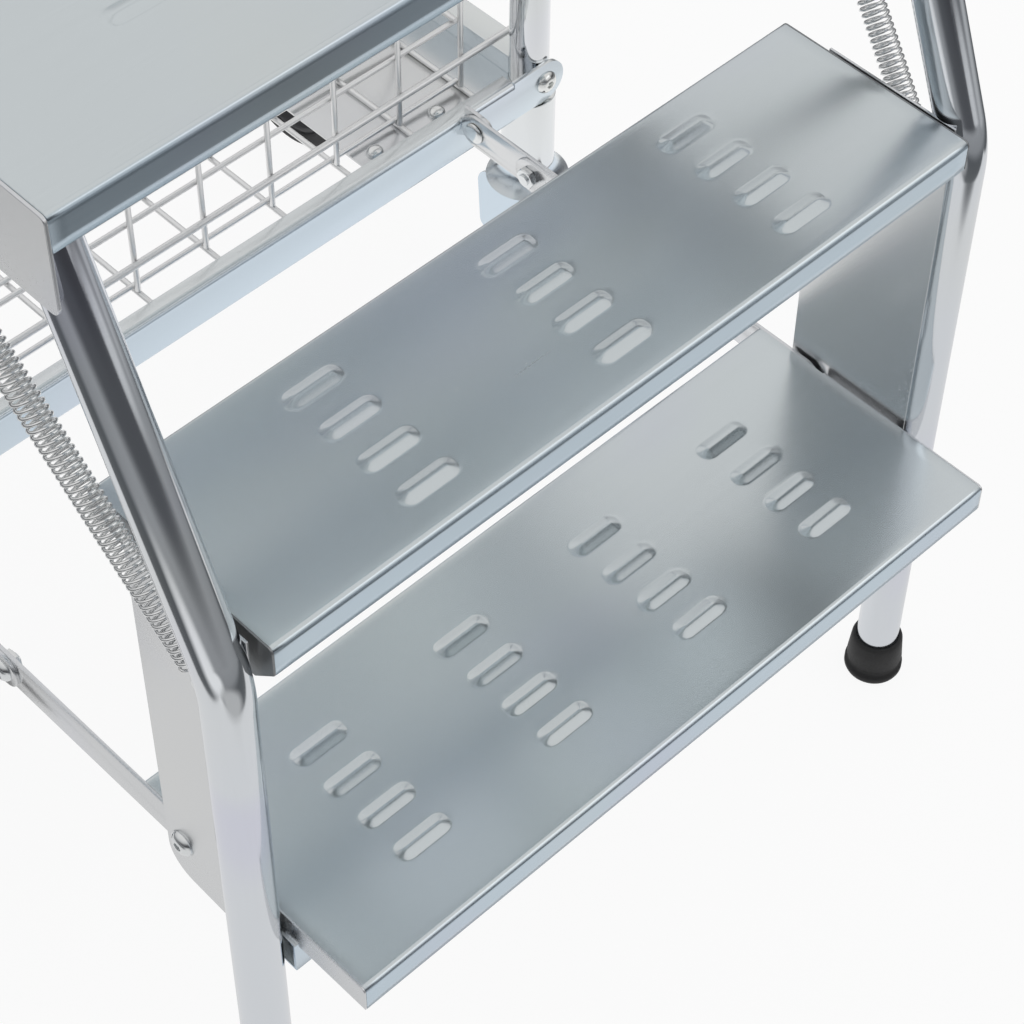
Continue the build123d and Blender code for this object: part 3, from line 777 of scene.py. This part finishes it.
@dataclass
class LiftSprings:
    """Close-wound tension springs from the gussets to the platform, with hooked ends."""

    turns: int = 65
    per_turn: int = 20
    sides: int = 8
    outer: float = 16 * MM
    wire: float = 2.0 * MM
    pin: float = 6 * MM
    foot_x: float = 261.8 * MM
    head_x: float = 283.4 * MM
    foot_play: float = 0.2 * MM
    head_play: float = 3.5 * MM
    foot_hook: float = 10 * MM
    head_hook: float = 43 * MM
    hook_sweep: tuple[float, float, int] = (-70.0, 210.0, 15)
    fold: float = 75.0

    def build(self) -> None:
        """Make both springs and put them in place of their CAD nodes."""
        turn = Matrix.Rotation(math.radians(-self.fold), 3, "X")
        ends = ("spring_pins_lower", "spring_pins_upper", "front_hinge_bolts")
        lower, upper, hinge = (Box(node).middle.yz for node in ends)
        for side in Side:
            node = f"lift_spring_{side.word}"
            foot, head = Vector((side.value * self.foot_x, *lower)), Vector((side.value * self.head_x, *upper))
            piece = Shell.tube(self.path(foot, head), self.wire / 2, self.sides).piece(f"{node}_coil")
            settle(piece, Body.STEPS.value, SPRING, node)
            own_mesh(piece)

    def path(self, foot: Vector, head: Vector) -> list[Vector]:
        """Middle line of the wire, from one hook to the other.

        Args:
            foot: Middle of the lower pin.
            head: Middle of the upper pin.

        Returns:
            Points along the wire.
        """
        axis = (head - foot).normalized()
        beside = axis.cross(ACROSS).normalized()
        across, along = beside.cross(axis) * math.copysign(1.0, head.x), ACROSS.cross(beside)
        radius, grip = (self.outer - self.wire) / 2, (self.pin + self.wire) / 2
        lower, coil, upper = [], [], []
        for angle in np.radians(np.linspace(*self.hook_sweep)):
            level, rise = beside * math.cos(angle), along * math.sin(angle)
            lower.insert(0, foot + (level - rise) * (grip + self.foot_play))
            upper.append(head + (level + rise) * (grip + self.head_play))
        start, end = foot + axis * self.foot_hook, head - axis * self.head_hook
        total = self.turns * self.per_turn
        for index in range(total + 1):
            angle = 2 * math.pi * index / self.per_turn
            spoke = across * math.cos(angle) + beside * math.sin(angle)
            coil.append(start.lerp(end, index / total) + spoke * radius)
        return lower + coil + upper


@dataclass
class Legs:
    """The two bent front tubes and their rubber feet."""

    bend: float = 90 * MM
    bend_height: float = 478 * MM
    bend_steps: int = 10
    foot_floor: float = 6 * MM
    foot_play: float = 0.1 * MM
    end_round: float = 1.0 * MM
    sides: int = 48

    def build(self) -> None:
        """Make the tubes and feet and put them in place of their CAD nodes."""
        hinge, radius = Box("front_hinge_bolts").middle, TUBE_D / 2
        for side in Side:
            node = f"front_leg_{side.word}"
            box = Box(node)
            foot = Vector((box.middle.x, box.low.y + radius, self.foot_floor))
            knee = Vector((*foot.xy, self.bend_height))
            lean = (Vector((foot.x, *hinge.yz)) - knee).normalized()
            rise = box.high.z - radius * math.sqrt(1 - lean.z**2)
            tip = knee + lean * ((rise - knee.z) / lean.z)
            path = rounded([foot, knee, tip], [0, self.bend, 0], self.bend_steps)
            piece = Shell.tube(path, radius, self.sides).piece(f"{node}_tube", self.end_round)
            settle(piece, Body.STEPS.value, TUBE, node)
        self.feet()

    def feet(self) -> None:
        """Make both ribbed rubber feet."""
        box = Box("rubber_feet")
        base, height, bore = box.size.y / 2, box.high.z, TUBE_D / 2 + self.foot_play
        profile = [
            (0.0, 0.0), (base - 3 * MM, 0.0), (base - 0.8 * MM, 0.6 * MM), (base, 2.5 * MM), (base, 6 * MM),
            (base - 1.6 * MM, 7.2 * MM), (base - 1.8 * MM, 12 * MM), (base - 0.9 * MM, 13 * MM),
            (base - 2.4 * MM, height - 3 * MM), (base - 3.2 * MM, height - 0.8 * MM), (base - 4.0 * MM, height),
            (bore, height), (bore, self.foot_floor),
        ]
        shell = Shell()
        for x in box.ends(0, base):
            shell += Shell.lathe(profile).at(x, box.middle.y, 0.0)
        settle(shell.piece("rubber_feet_moulded"), Body.STEPS.value, FOOT, "rubber_feet")


@dataclass
class StepEnds:
    """End plates that close the steps, and the gussets outside them that carry the steps and the stays."""

    lip: float = 19.5 * MM
    plate: float = 1.3 * MM
    cheek: float = 1.7 * MM
    fold: float = 3.5 * MM
    heel: float = 20 * MM
    heel_rise: float = 7 * MM
    lap: float = 2 * MM
    edge: float = 0.35 * MM

    def build(self) -> None:
        """Make the plates and put them in place of their CAD nodes."""
        for side in Side:
            leg = Box(f"front_leg_{side.word}").low.y + TUBE_D / 2
            for kind, finish in (("lower_end_plate", PLATE), ("upper_end_plate", DARK_ZINC), ("gusset", PLATE)):
                node = f"{kind}_{side.word}"
                box = Box(node)
                near, far = sorted((box.low.x, box.high.x), key=abs)
                span = (near, near + side.value * self.plate)
                if kind == "gusset":
                    span = (far - side.value * self.cheek, far)
                plate = Shell.prism(outline(*self.corners(box, leg)[kind]), *span)
                settle(plate.piece(f"{node}_cut", self.edge), Body.STEPS.value, finish, node)

    def corners(self, box: Box, leg: float) -> dict[str, list[Corner]]:
        """Corners of each kind of plate, if it were the one in a box.

        Args:
            box: A plate's box.
            leg: Middle of its leg along Y.

        Returns:
            The corners by kind.
        """
        (front, foot), (back, top) = box.low.yz, box.high.yz
        shelf, start = top - self.lip, leg - self.lap
        folds = [(front, top, self.fold), (back, top, self.fold)]
        tongue = [(leg + TUBE_D, foot, 0), (leg, foot, 0)]
        heel = (back, foot + self.heel_rise, self.heel)
        return {
            "lower_end_plate": [(front, foot, 0), *folds, (back, foot, 0)],
            "upper_end_plate": [(front, shelf, 0), *folds, (back, shelf, 0), *tongue],
            "gusset": [(start, top, 0), (back, top, 0), heel, (start, foot, 0)],
        }


@dataclass
class Handrail:
    """The bent tube that is both uprights and the rail, the capped rear posts, and the castors' sockets."""

    bend: float = 110 * MM
    bend_steps: int = 16
    play: float = 0.05 * MM
    socket: float = 19 * MM
    edge: float = 0.5 * MM
    sides: int = 48

    def build(self) -> None:
        """Make the tubes, caps and sockets and put them in place of their CAD nodes."""
        nodes = ("handrail_frame", "rear_posts", "post_caps", "castor_sockets")
        rail, posts, caps, sockets = (Box(node) for node in nodes)
        radius = TUBE_D / 2
        (left, right), y = rail.ends(0, radius), rail.middle.y
        foot, top = rail.low.z, rail.high.z - radius
        corners = [(left, y, foot), (left, y, top), (right, y, top), (right, y, foot)]
        path = rounded(corners, [0, self.bend, self.bend, 0], self.bend_steps)
        bar = Shell.tube(path, radius, self.sides)
        settle(bar.piece("handrail_tube", self.edge), Body.TROLLEY.value, TUBE, "handrail_frame")
        bore, wide, rise = radius + self.play, caps.size.y / 2, caps.size.z
        cap = [
            (bore, 0.0), (wide - 0.4 * MM, 0.0), (wide, 0.5 * MM), (wide, rise * 0.5),
            (wide - 0.8 * MM, rise * 0.8), (wide - 2.5 * MM, rise * 0.95), (wide * 0.5, rise), (0.0, rise),
        ]
        ring = [(bore, 0.0), (self.socket, 0.0), (self.socket, sockets.size.z), (bore, sockets.size.z)]
        tubes, tops, sleeves = Shell(), Shell(), Shell()
        for x in (left, right):
            ends = [(x, posts.middle.y, z) for z in (posts.low.z, posts.high.z)]
            tubes += Shell.tube(ends, radius, self.sides)
            tops += Shell.lathe(cap).at(x, posts.middle.y, caps.low.z)
            for y in sockets.ends(1, self.socket):
                sleeves += Shell.lathe(ring).at(x, y, sockets.low.z)
        settle(tubes.piece("rear_post_tubes", self.edge), Body.TROLLEY.value, TUBE, "rear_posts")
        settle(tops.piece("post_caps_moulded"), Body.TROLLEY.value, CAP, "post_caps")
        piece = sleeves.piece("castor_socket_sleeves", self.edge)
        settle(piece, Body.TROLLEY.value, TUBE, "castor_sockets")


@dataclass
class Basket:
    """Welded wire basket and the rods behind the uprights that it hangs on."""

    wire: float = 4 * MM
    pitch: float = 57 * MM
    gaps: int = 10
    band_height: float = 287 * MM
    floor_wires: int = 5
    wire_sides: int = 12
    rod_sides: int = 20
    edge: float = 0.4 * MM

    def build(self) -> None:
        """Make the wires and the hanger rods and put them in place of their CAD nodes."""
        box, rods = Box("wire_basket"), Box("basket_hangers")
        rod, radius, half = rods.size.z / 2, self.wire / 2, self.pitch * self.gaps / 2
        floor, cross, rim = box.low.z + radius, box.low.z + 3 * radius, box.high.z
        front, back = rods.ends(1, 2 * rod + radius)
        rows = np.linspace(front + self.wire, back - self.wire, self.floor_wires)
        runs: list[tuple[Point, Point]] = []
        for x in lines_about(0.0, self.pitch, self.gaps + 1):
            runs.append(((x, box.low.y, floor), (x, box.high.y, floor)))
            runs += [((x, y, floor + radius), (x, y, rim)) for y in (front, back)]
        runs += [((-half, y, cross), (half, y, cross)) for y in rows]
        runs += [((x, y, cross + radius), (x, y, rim)) for x in (-half, half) for y in rows[1:-1]]
        for z in (self.band_height, rim - 3 * radius):
            runs += [((-half, y, z), (half, y, z)) for y in (rows[0], rows[-1])]
            sides = (-half + self.wire, half - self.wire)
            runs += [((x, front, z + self.wire), (x, back, z + self.wire)) for x in sides]
        wires, bars = Shell(), Shell()
        for run in runs:
            wires += Shell.tube(run, radius, self.wire_sides)
        settle(wires.piece("wire_basket_welded", self.edge), Body.TROLLEY.value, WIRE, "wire_basket")
        for y in rods.ends(1, rod):
            ends = [(x, y, rods.middle.z) for x in (rods.low.x, rods.high.x)]
            bars += Shell.tube(ends, rod, self.rod_sides)
        settle(bars.piece("basket_hanger_rods", self.edge), Body.TROLLEY.value, WIRE, "basket_hangers")


class Head(Enum):
    """Ends of bolts: radius, height, and rings as shares of both, those with a third number with flats."""

    BUTTON = (8.5 * MM, 4.5 * MM, (
        (0.0, 0.0), (1.0, 0.0), (1.0, 0.13), (0.965, 0.31), (0.87, 0.58), (0.71, 0.82), (0.54, 0.96), (0.42, 1.0),
        (0.35, 0.99, 6), (0.34, 0.5, 6), (0.0, 0.5),
    ))
    RIVET = (7.65 * MM, 4.5 * MM, (
        (0.0, 0.0), (1.0, 0.0), (1.0, 0.14), (0.93, 0.32), (0.74, 0.46), (0.45, 0.54), (0.2, 0.56), (0.0, 0.56),
    ))
    NUT = (8.0 * MM, 6.0 * MM, (
        (0.0, 0.0), (0.86, 0.0), (1.0, 1 / 12, 6), (1.0, 0.64, 6), (0.84, 0.74), (0.55, 0.74), (0.5, 0.68),
        (0.5, 0.94), (0.43, 1.0), (0.0, 1.0),
    ))

    @property
    def height(self) -> float:
        """How far the end stands out from its seat."""
        return self.value[1]

    def on(self, seat: Point, way: Point) -> Shell:
        """The end on its seat, facing along a way."""
        profile = [(r * self.value[0], z * self.height, *flats) for r, z, *flats in self.value[2]]
        return Shell.lathe(profile, HEAD_SIDES).aimed(seat, way)


@dataclass(frozen=True)
class CrossBolts:
    """Bolts along X on both sides: their ends, where they start inside and how far they stop short outside."""

    node: str
    body: Body
    start: float
    shank: float = 0.0
    outer: Head | None = None
    inner: Head | None = None
    short: float = 0.0
    sunk: float = 0.0
    inset: float | None = None

    def shell(self) -> Shell:
        """The surfaces of both sides' bolts.

        Returns:
            All of them as one.
        """
        box, made = Box(self.node), Shell()
        end = box.high.x - self.short - (self.outer.height if self.outer else 0.0)
        for side in Side:
            out, inward = (side.value, 0, 0), (-side.value, 0, 0)
            for y in (box.middle.y,) if self.inset is None else box.ends(1, self.inset):
                places = (self.start, self.start + self.sunk, end)
                root, seat, tip = ((side.value * x, y, box.middle.z) for x in places)
                if self.outer:
                    made += self.outer.on(tip, out)
                if self.inner:
                    made += self.inner.on(seat, inward)
                if self.shank:
                    made += Shell.tube([root, tip], self.shank)
        return made


@dataclass
class Fasteners:
    """Bolts and spring pins across the ladder, screws of the base frame and dome bolts of its plates."""

    crossing: Sequence[CrossBolts] = (
        CrossBolts("gusset_rivets", Body.STEPS, 247.2 * MM, 4 * MM, outer=Head.BUTTON),
        CrossBolts("front_hinge_bolts", Body.PLATFORM, 249.7 * MM, 5 * MM, inner=Head.NUT, short=4.6 * MM),
        CrossBolts("platform_pivot_bolts", Body.PLATFORM, 279.5 * MM, 5 * MM, inner=Head.NUT, sunk=0.5 * MM),
        CrossBolts("stay_fasteners", Body.STAYS, 247.0 * MM, outer=Head.BUTTON, inner=Head.NUT, inset=8.5 * MM),
        CrossBolts("stay_pivot_bolts", Body.TROLLEY, 249.3 * MM, 4 * MM, outer=Head.NUT, inner=Head.RIVET),
    )
    upper_pins: float = 282 * MM
    lower_pins: float = 253 * MM
    pin_round: float = 0.6 * MM
    dome: float = 6.0 * MM
    dome_pitch: float = 57 * MM
    dome_rim: float = 0.2
    dome_arc: float = 1.45
    dome_rings: int = 9
    edge: float = 0.15 * MM

    def build(self) -> None:
        """Make all fasteners and put them in place of their CAD nodes."""
        shells = {(bolts.node, bolts.body): bolts.shell() for bolts in self.crossing}
        shells |= {
            ("frame_bolts", Body.TROLLEY): self.screws(),
            ("base_plate_bolts", Body.TROLLEY): self.domes(),
            ("spring_pins_upper", Body.PLATFORM): self.pin_pair(Box("spring_pins_upper"), self.upper_pins),
            ("spring_pins_lower", Body.STEPS): self.pin_pair(Box("spring_pins_lower"), self.lower_pins),
        }
        for (node, body), shell in shells.items():
            settle(shell.piece(f"{node}_turned", self.edge), body.value, BOLT, node)

    def screws(self) -> Shell:
        """Screws of the channels' lugs, front and back.

        Returns:
            All of them as one.
        """
        box, made, (radius, height, _) = Box("frame_bolts"), Shell(), Head.BUTTON.value
        for x in box.ends(0, radius):
            for y, way in zip(box.ends(1, height), (-1, 1)):
                made += Head.BUTTON.on((x, y, box.middle.z), (0, way, 0))
        return made

    def domes(self) -> Shell:
        """Dome bolts of the base plates.

        Returns:
            All of them as one.
        """
        box = Box("base_plate_bolts")
        radius, tall = self.dome, box.size.z
        arc, bulge = np.linspace(0.0, self.dome_arc, self.dome_rings), 1 - self.dome_rim
        bow = [(radius * math.cos(a), tall * (self.dome_rim + bulge * math.sin(a))) for a in arc]
        dome = Shell.lathe([(0.0, 0.0), (radius, 0.0)] + bow + [(0.0, tall)], HEAD_SIDES)
        made, outer = Shell(), box.high.x - radius
        for side in Side:
            for x in (outer, outer - self.dome_pitch):
                for y in box.ends(1, radius):
                    made += dome.at(side.value * x, y, box.low.z)
        return made

    def pin_pair(self, box: Box, near: float) -> Shell:
        """Pins that the springs hook on.

        Args:
            box: Box of both pins.
            near: Where they start, along X.

        Returns:
            Both as one.
        """
        made, r, reach = Shell(), box.size.z / 2, box.high.x - near
        shape = [(0.0, 0.0), (r, 0.0), (r, reach - self.pin_round), (r - self.pin_round, reach), (0.0, reach)]
        for side in Side:
            made += Shell.lathe(shape, PIN_SIDES).aimed((side.value * near, *box.middle.yz), (side.value, 0, 0))
        return made


@dataclass
class Plates:
    """Folded and flat steel pieces that keep their CAD form and get broken edges."""

    edge: float = 0.35 * MM
    edge_angle: float = 35
    weld: float = 0.02 * MM
    flat_angle: float = 0.5
    folds: Sequence[str] = ("step_rail", "platform_ribs", "front_channel", "rear_channel", "side_rails")
    flats: Sequence[str] = (
        "base_plate_left", "base_plate_right", "stay_lugs", "stay_front_bar_left", "stay_front_bar_right",
        "stay_rear_bar_left", "stay_rear_bar_right",
    )
    tubes: Sequence[str] = ("platform_pivot_bosses",)

    def build(self) -> None:
        """Soften and dress the CAD nodes that stay."""
        for names, finish in ((self.folds, FOLD), (self.flats, PLATE), (self.tubes, TUBE)):
            for name in names:
                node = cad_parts[name]
                set_modifier(node, "WELD", merge_threshold=self.weld)
                flat = math.radians(self.flat_angle)
                set_modifier(node, "DECIMATE", decimate_type="DISSOLVE", angle_limit=flat)
                bevel(node, self.edge, self.edge_angle, harden_normals=True)
                node.data.polygons.foreach_set("use_smooth", [True] * len(node.data.polygons))
                dress(node, finish)
                log.info("%s keeps its CAD form", name)


@dataclass
class Castor:
    """A swivel castor: pressed fork with a flared race, axle and wheel."""

    tag: str
    crown: float = 131 * MM
    sheet: float = 3 * MM
    race: float = 134 * MM
    race_low: float = 30 * MM
    race_high: float = 19 * MM
    race_rise: float = 16 * MM
    race_flare: float = 2.2
    race_rings: int = 10
    eye: float = 16 * MM
    heel: float = 8 * MM
    heel_reach: float = 20 * MM
    heel_height: float = 84 * MM
    half_length: float = 30 * MM
    lid_half: float = 25.1 * MM
    lid_bend: float = 2.7 * MM
    trail: float = 32 * MM
    fork_inner: float = 17.5 * MM
    shoulder: float = 14 * MM
    axle: float = 6 * MM
    axle_nut: float = 10.25 * MM
    tyre_crown: float = 0.55
    tyre_rings: int = 17
    tyre_wall: float = 2 * MM
    tyre_bead: float = 0.8
    edge: float = 0.5 * MM
    sides: int = 72

    def build(self) -> None:
        """Make the fork, axle and wheel and put them in place of their CAD nodes."""
        self.fork()
        self.shaft()
        self.wheel()

    def fork(self) -> None:
        """Make the fork with its flared race."""
        axle = Box(f"castor_axle_{self.tag}").middle
        x, pin = axle.x, axle.y + self.trail
        arm = circle(axle.y, axle.z, self.eye) + circle(pin + self.heel_reach, self.heel_height, self.heel)
        for reach in (self.shoulder - self.half_length, self.half_length - self.shoulder):
            arm += circle(pin + reach, self.race - self.shoulder, self.shoulder)
        arm = [arm[index] for index in convex_hull_2d(arm)]
        made = Shell()
        for sign in (-1, 1):
            made += Shell.prism(arm, x + sign * self.fork_inner, x + sign * (self.fork_inner + self.sheet))
        front, back, bend = pin - self.lid_half, pin + self.lid_half, self.lid_bend
        corners = (front, self.crown, 0), (back, self.crown, 0), (back, self.race, bend), (front, self.race, bend)
        made += Shell.prism(outline(*corners), x - self.fork_inner, x + self.fork_inner)
        flare = [
            (self.race_high + (self.race_low - self.race_high) * (1 - t) ** self.race_flare, self.race_rise * t)
            for t in np.linspace(0.0, 1.0, self.race_rings)
        ]
        made += Shell.lathe([(0.0, 0.0)] + flare + [(0.0, self.race_rise)]).at(x, pin, self.race)
        node = f"castor_fork_{self.tag}"
        settle(made.piece(f"{node}_pressed", self.edge), f"castor_{self.tag}", FOLD, node)

    def shaft(self) -> None:
        """Make the axle with its nuts."""
        node = f"castor_axle_{self.tag}"
        axle, face = Box(node), self.fork_inner + self.sheet
        wide, tall = self.axle_nut, axle.size.x / 2 - face
        nut = [(0.0, 0.0), (wide, 0.0, 6), (wide, tall * 0.8, 6), (wide * 0.84, tall), (0.0, tall)]
        made = Shell()
        for way in (ACROSS, -ACROSS):
            seat = axle.middle + way * face
            made += Shell.lathe(nut, HEAD_SIDES).aimed(seat, way) + Shell.tube([axle.middle, seat], self.axle)
        settle(made.piece(f"{node}_turned", self.edge / 2), f"castor_{self.tag}", BOLT, node)

    def wheel(self) -> None:
        """Make the tyre and the hub."""
        nodes = f"wheel_tyre_{self.tag}", f"wheel_hub_{self.tag}"
        tyre, hub = (Box(node) for node in nodes)
        outer, half = tyre.size.z / 2, tyre.size.x / 2
        rim, boss = hub.size.z / 2, hub.size.x / 2
        bow = [
            (outer - half * self.tyre_crown * (1 - math.cos(a)), half * math.sin(a))
            for a in np.linspace(-math.pi / 2, math.pi / 2, self.tyre_rings)
        ]
        wall, bead = rim + self.tyre_wall, half * self.tyre_bead
        tread = [(rim, -bead), (wall, -half)] + bow + [(wall, half), (rim, bead)]
        face = [
            (6.1 * MM, boss), (13 * MM, boss), (15 * MM, boss - 2 * MM), (16 * MM, 6 * MM), (19 * MM, 4.4 * MM),
            (rim - 8 * MM, 4 * MM), (rim - 6 * MM, 5 * MM), (rim - 5 * MM, half - 4 * MM),
            (rim - 3.5 * MM, half - 2.5 * MM), (rim, half - 2.5 * MM),
        ]
        disc = face + [(r, -z) for r, z in face[::-1]]
        for node, profile, finish in zip(nodes, (tread, disc), (TYRE, HUB)):
            shell = Shell.lathe(profile, self.sides).aimed(tyre.middle, ACROSS)
            settle(shell.piece(f"{node}_moulded"), f"wheel_{self.tag}", finish, node)


# Studio


def staged(data: bpy.types.ID, place: Point, turn: Matrix) -> Piece:
    """Put a camera or a lamp in the scene.

    Args:
        data: The camera's or lamp's data, which names it.
        place: Where it is.
        turn: How it is turned.

    Returns:
        The new object.
    """
    made = bpy.data.objects.new(data.name, data)
    bpy.context.scene.collection.objects.link(made)
    made.matrix_world = Matrix.Translation(place) @ turn.to_4x4()
    return made


@dataclass(frozen=True)
class PhotoCamera:
    """The camera at the photograph's place, found from the steps' corners."""

    place: Point = (-0.71744, -0.97958, 1.54931)
    right: Point = (0.72032, -0.69359, 0.00794)
    up: Point = (0.53096, 0.55871, 0.63712)
    back: Point = (-0.44634, -0.45472, 0.77072)
    lens: float = 99.69
    sensor: float = 36.0
    clip: Spot = (0.05, 50.0)

    def build(self) -> None:
        """Make the camera and use it."""
        data = bpy.data.cameras.new("photo_camera")
        data.lens = self.lens
        data.sensor_width = self.sensor
        data.sensor_fit = "HORIZONTAL"
        data.clip_start, data.clip_end = self.clip
        turn = Matrix((self.right, self.up, self.back)).transposed()
        bpy.context.scene.camera = staged(data, self.place, turn)


@dataclass(frozen=True)
class FloorFinish(Finish):
    """White to the camera, with a soft shadow; in reflections it glows with a painted reflection: a white sheet
    under the ladder, dim far out, with painted rings and lit patches.
    """

    pale: Colour = (0.95, 0.95, 0.95)
    shadow_share: float = 0.09
    # Painted reflection: a white sheet under the ladder that only reflections see
    painted_paper: Colour = (0.74, 0.74, 0.74)
    paper_middle: Colour = (0.07, 0.135, 0.0)
    paper_half: Colour = (0.87, 0.935, 1.0)
    # Painted reflection: dark and bright rings by distance, which lay the bands on the tubes
    falloff: Stops = (
        (0.80, (0.130, 0.136, 0.140)),
        (1.22, (0.100, 0.106, 0.112)),
        (1.48, (0.270, 0.277, 0.285)),
        (2.45, (0.320, 0.327, 0.335)),
        (2.95, (0.200, 0.205, 0.212)),
        (3.50, (0.080, 0.083, 0.090)),
        (5.60, (0.090, 0.093, 0.100)),
        (7.00, (0.065, 0.068, 0.075)),
    )
    reach: float = 7.5
    paper_edge: Spot = (0.97, 1.03)
    # Painted reflection: glowing patches on the floor that stand in for lit panels
    panels: Sequence[tuple[Colour, Colour, Colour]] = (
        ((1.80, -3.90, 0.0), (0.75, 2.10, 1.0), (0.64, 0.645, 0.65)),
        ((1.72, -1.15, 0.0), (0.40, 0.75, 1.0), (0.46, 0.465, 0.47)),
        ((-1.06, -1.00, 0.0), (0.42, 0.58, 1.0), (0.85, 0.85, 0.85)),
        ((-0.42, -0.98, 0.0), (0.46, 0.34, 1.0), (0.50, 0.50, 0.50)),
        ((0.35, 0.20, 0.0), (0.65, 0.55, 1.0), (0.92, 0.92, 0.92)),
    )
    panel_edge: float = 2.2

    def surface(self, shader: Shader) -> Signal:
        """Mix the matt floor that takes the shadow with a glowing one: white to the camera, a painted reflection
        to mirrors.

        Args:
            shader: The floor's shader.

        Returns:
            The surface.
        """
        camera, mirrored = shader.ray("Camera"), (shader.ray("Glossy") + shader.ray("Transmission")).clipped()
        matt = {"Base Color": self.pale, "Roughness": 0.9, "Specular IOR Level": 0.1}
        # Emission: plain white to the camera, and the painted reflection to glossy and transmission rays
        white = {
            "Base Color": (0.0, 0.0, 0.0),
            "Specular IOR Level": 0.0,
            "Emission Color": shader.mixed(mirrored, (1.0, 1.0, 1.0), self.mirrored(shader)),
            "Emission Strength": 1.0,
        }
        share = (camera * (1.0 - self.shadow_share) + mirrored).clipped()
        sockets = {0: share, 1: shader.principled(matt), 2: shader.principled(white)}
        return shader.node("ShaderNodeMixShader", None, sockets)

    def mirrored(self, shader: Shader) -> Signal:
        """Painted reflection: the colour that the floor glows with in reflections.

        Args:
            shader: The floor's shader.

        Returns:
            The colour.
        """
        place = shader.coordinate("Object")
        away = shader.vector("LENGTH", place, output="Value") * (1.0 / self.reach)
        stops = [(distance / self.reach, colour) for distance, colour in self.falloff]
        colour = shader.node("ShaderNodeValToRGB", {"stops": stops}, {0: away})
        aside = shader.vector("ABSOLUTE", self.aside(place, self.paper_middle, self.paper_half))
        beyond = shader.axis(aside, 0).larger(shader.axis(aside, 1))
        colour = shader.mixed(beyond.ramped(*self.paper_edge), self.painted_paper, colour)
        # Each patch glows with painted light that only reflections see
        for middle, radii, painted_glow in self.panels:
            share = shader.vector("LENGTH", self.aside(place, middle, radii), output="Value")
            colour = shader.mixed((self.panel_edge - share * self.panel_edge).clipped(), colour, painted_glow)
        return colour

    @staticmethod
    def aside(place: Signal, middle: Colour, radii: Colour) -> Signal:
        """Offset from a middle, measured in its radii."""
        return place.shader.vector("DIVIDE", place.shader.vector("SUBTRACT", place, middle), radii)


@dataclass(frozen=True)
class Studio:
    """A pale floor, a surround that is dark in front and bright overhead and behind, and one softbox."""

    floor: FloorFinish = FloorFinish("pale_floor", "stage")
    floor_half: float = 8.0
    lean: float = 0.28
    surround: Stops = (
        (0.0, (0.04, 0.04, 0.045)),
        (0.44, (0.05, 0.05, 0.055)),
        (0.54, (0.12, 0.12, 0.125)),
        (0.60, (0.36, 0.365, 0.37)),
        (0.66, (0.55, 0.555, 0.56)),
        (0.76, (0.66, 0.665, 0.67)),
        (0.90, (0.73, 0.73, 0.73)),
        (1.0, (0.74, 0.74, 0.74)),
    )
    lamp_place: Point = (1.15, -2.2, 1.35)
    lamp_target: Point = (0.0, -0.2, 0.3)
    lamp_size: float = 2.0
    lamp_power: float = 7.0

    def build(self) -> None:
        """Make the floor, the surround and the lamp."""
        ends = (-self.floor_half, self.floor_half)
        floor = Shell.grid(np.array([[(x, y, 0.0) for x in ends] for y in ends])).piece("floor")
        dress(floor, self.floor)
        self.world()
        data = bpy.data.lights.new("front_softbox", "AREA")
        data.size, data.energy = self.lamp_size, self.lamp_power
        way = Vector(self.lamp_target) - Vector(self.lamp_place)
        staged(data, self.lamp_place, way.to_track_quat("-Z", "Y").to_matrix())
        bpy.context.scene.view_settings.view_transform = "Standard"

    def world(self) -> None:
        """Make the surround, which is plain white to the camera."""
        world = bpy.data.worlds.new("studio_surround")
        world.use_nodes = True
        bpy.context.scene.world = world
        shader = Shader(world.node_tree)
        way = shader.coordinate("Generated")
        height = shader.axis(way, 2) + shader.axis(way, 1) * self.lean
        colour = shader.node("ShaderNodeValToRGB", {"stops": self.surround}, {0: height * 0.5 + 0.5})
        colour = shader.mixed(shader.ray("Camera"), colour, (1.0, 1.0, 1.0))
        light = shader.node("ShaderNodeBackground", None, {"Color": colour, "Strength": 1.0})
        shader.node("ShaderNodeOutputWorld", None, {"Surface": light})


def treads() -> list[Tread]:
    """The two steps and the platform's tray, with their groups of dimples.

    Returns:
        All three, ready to build.
    """
    lower, upper, deck = (Box(node).middle.y for node in ("lower_tread", "upper_tread", "platform_deck"))
    group = {"pitch": 28 * MM, "count": 4}
    lower_field = DimpleField(lines_about(0.0, pitch=108 * MM, count=4), lines_about(lower, **group))
    upper_field = DimpleField(lines_about(8 * MM, pitch=134 * MM, count=3), lines_about(upper, **group))
    deck_rows = [y for middle in lines_about(deck, pitch=120 * MM, count=2) for y in lines_about(middle, **group)]
    deck_field = DimpleField(lines_about(0.0, pitch=170 * MM, count=3), deck_rows)
    return [
        Tread("lower_tread", lower_field),
        Tread("upper_tread", upper_field),
        Tread("platform_deck", deck_field, Body.PLATFORM, lip=21 * MM, seam=2.3 * MM),
    ]


def main() -> None:
    """Build the ladder's looks on the frame and set up the studio."""
    logging.basicConfig(level=logging.INFO, format="%(name)s: %(message)s")
    castors = [Castor(f"{end}_{side.word}") for end in ("front", "rear") for side in Side]
    groups = [PhotoCamera(), Studio(), *treads(), Skirts(), Legs(), StepEnds(), LiftSprings(), Handrail()]
    for group in groups + [Basket(), Fasteners(), Plates(), *castors]:
        group.build()


if __name__ == "__main__":
    main()
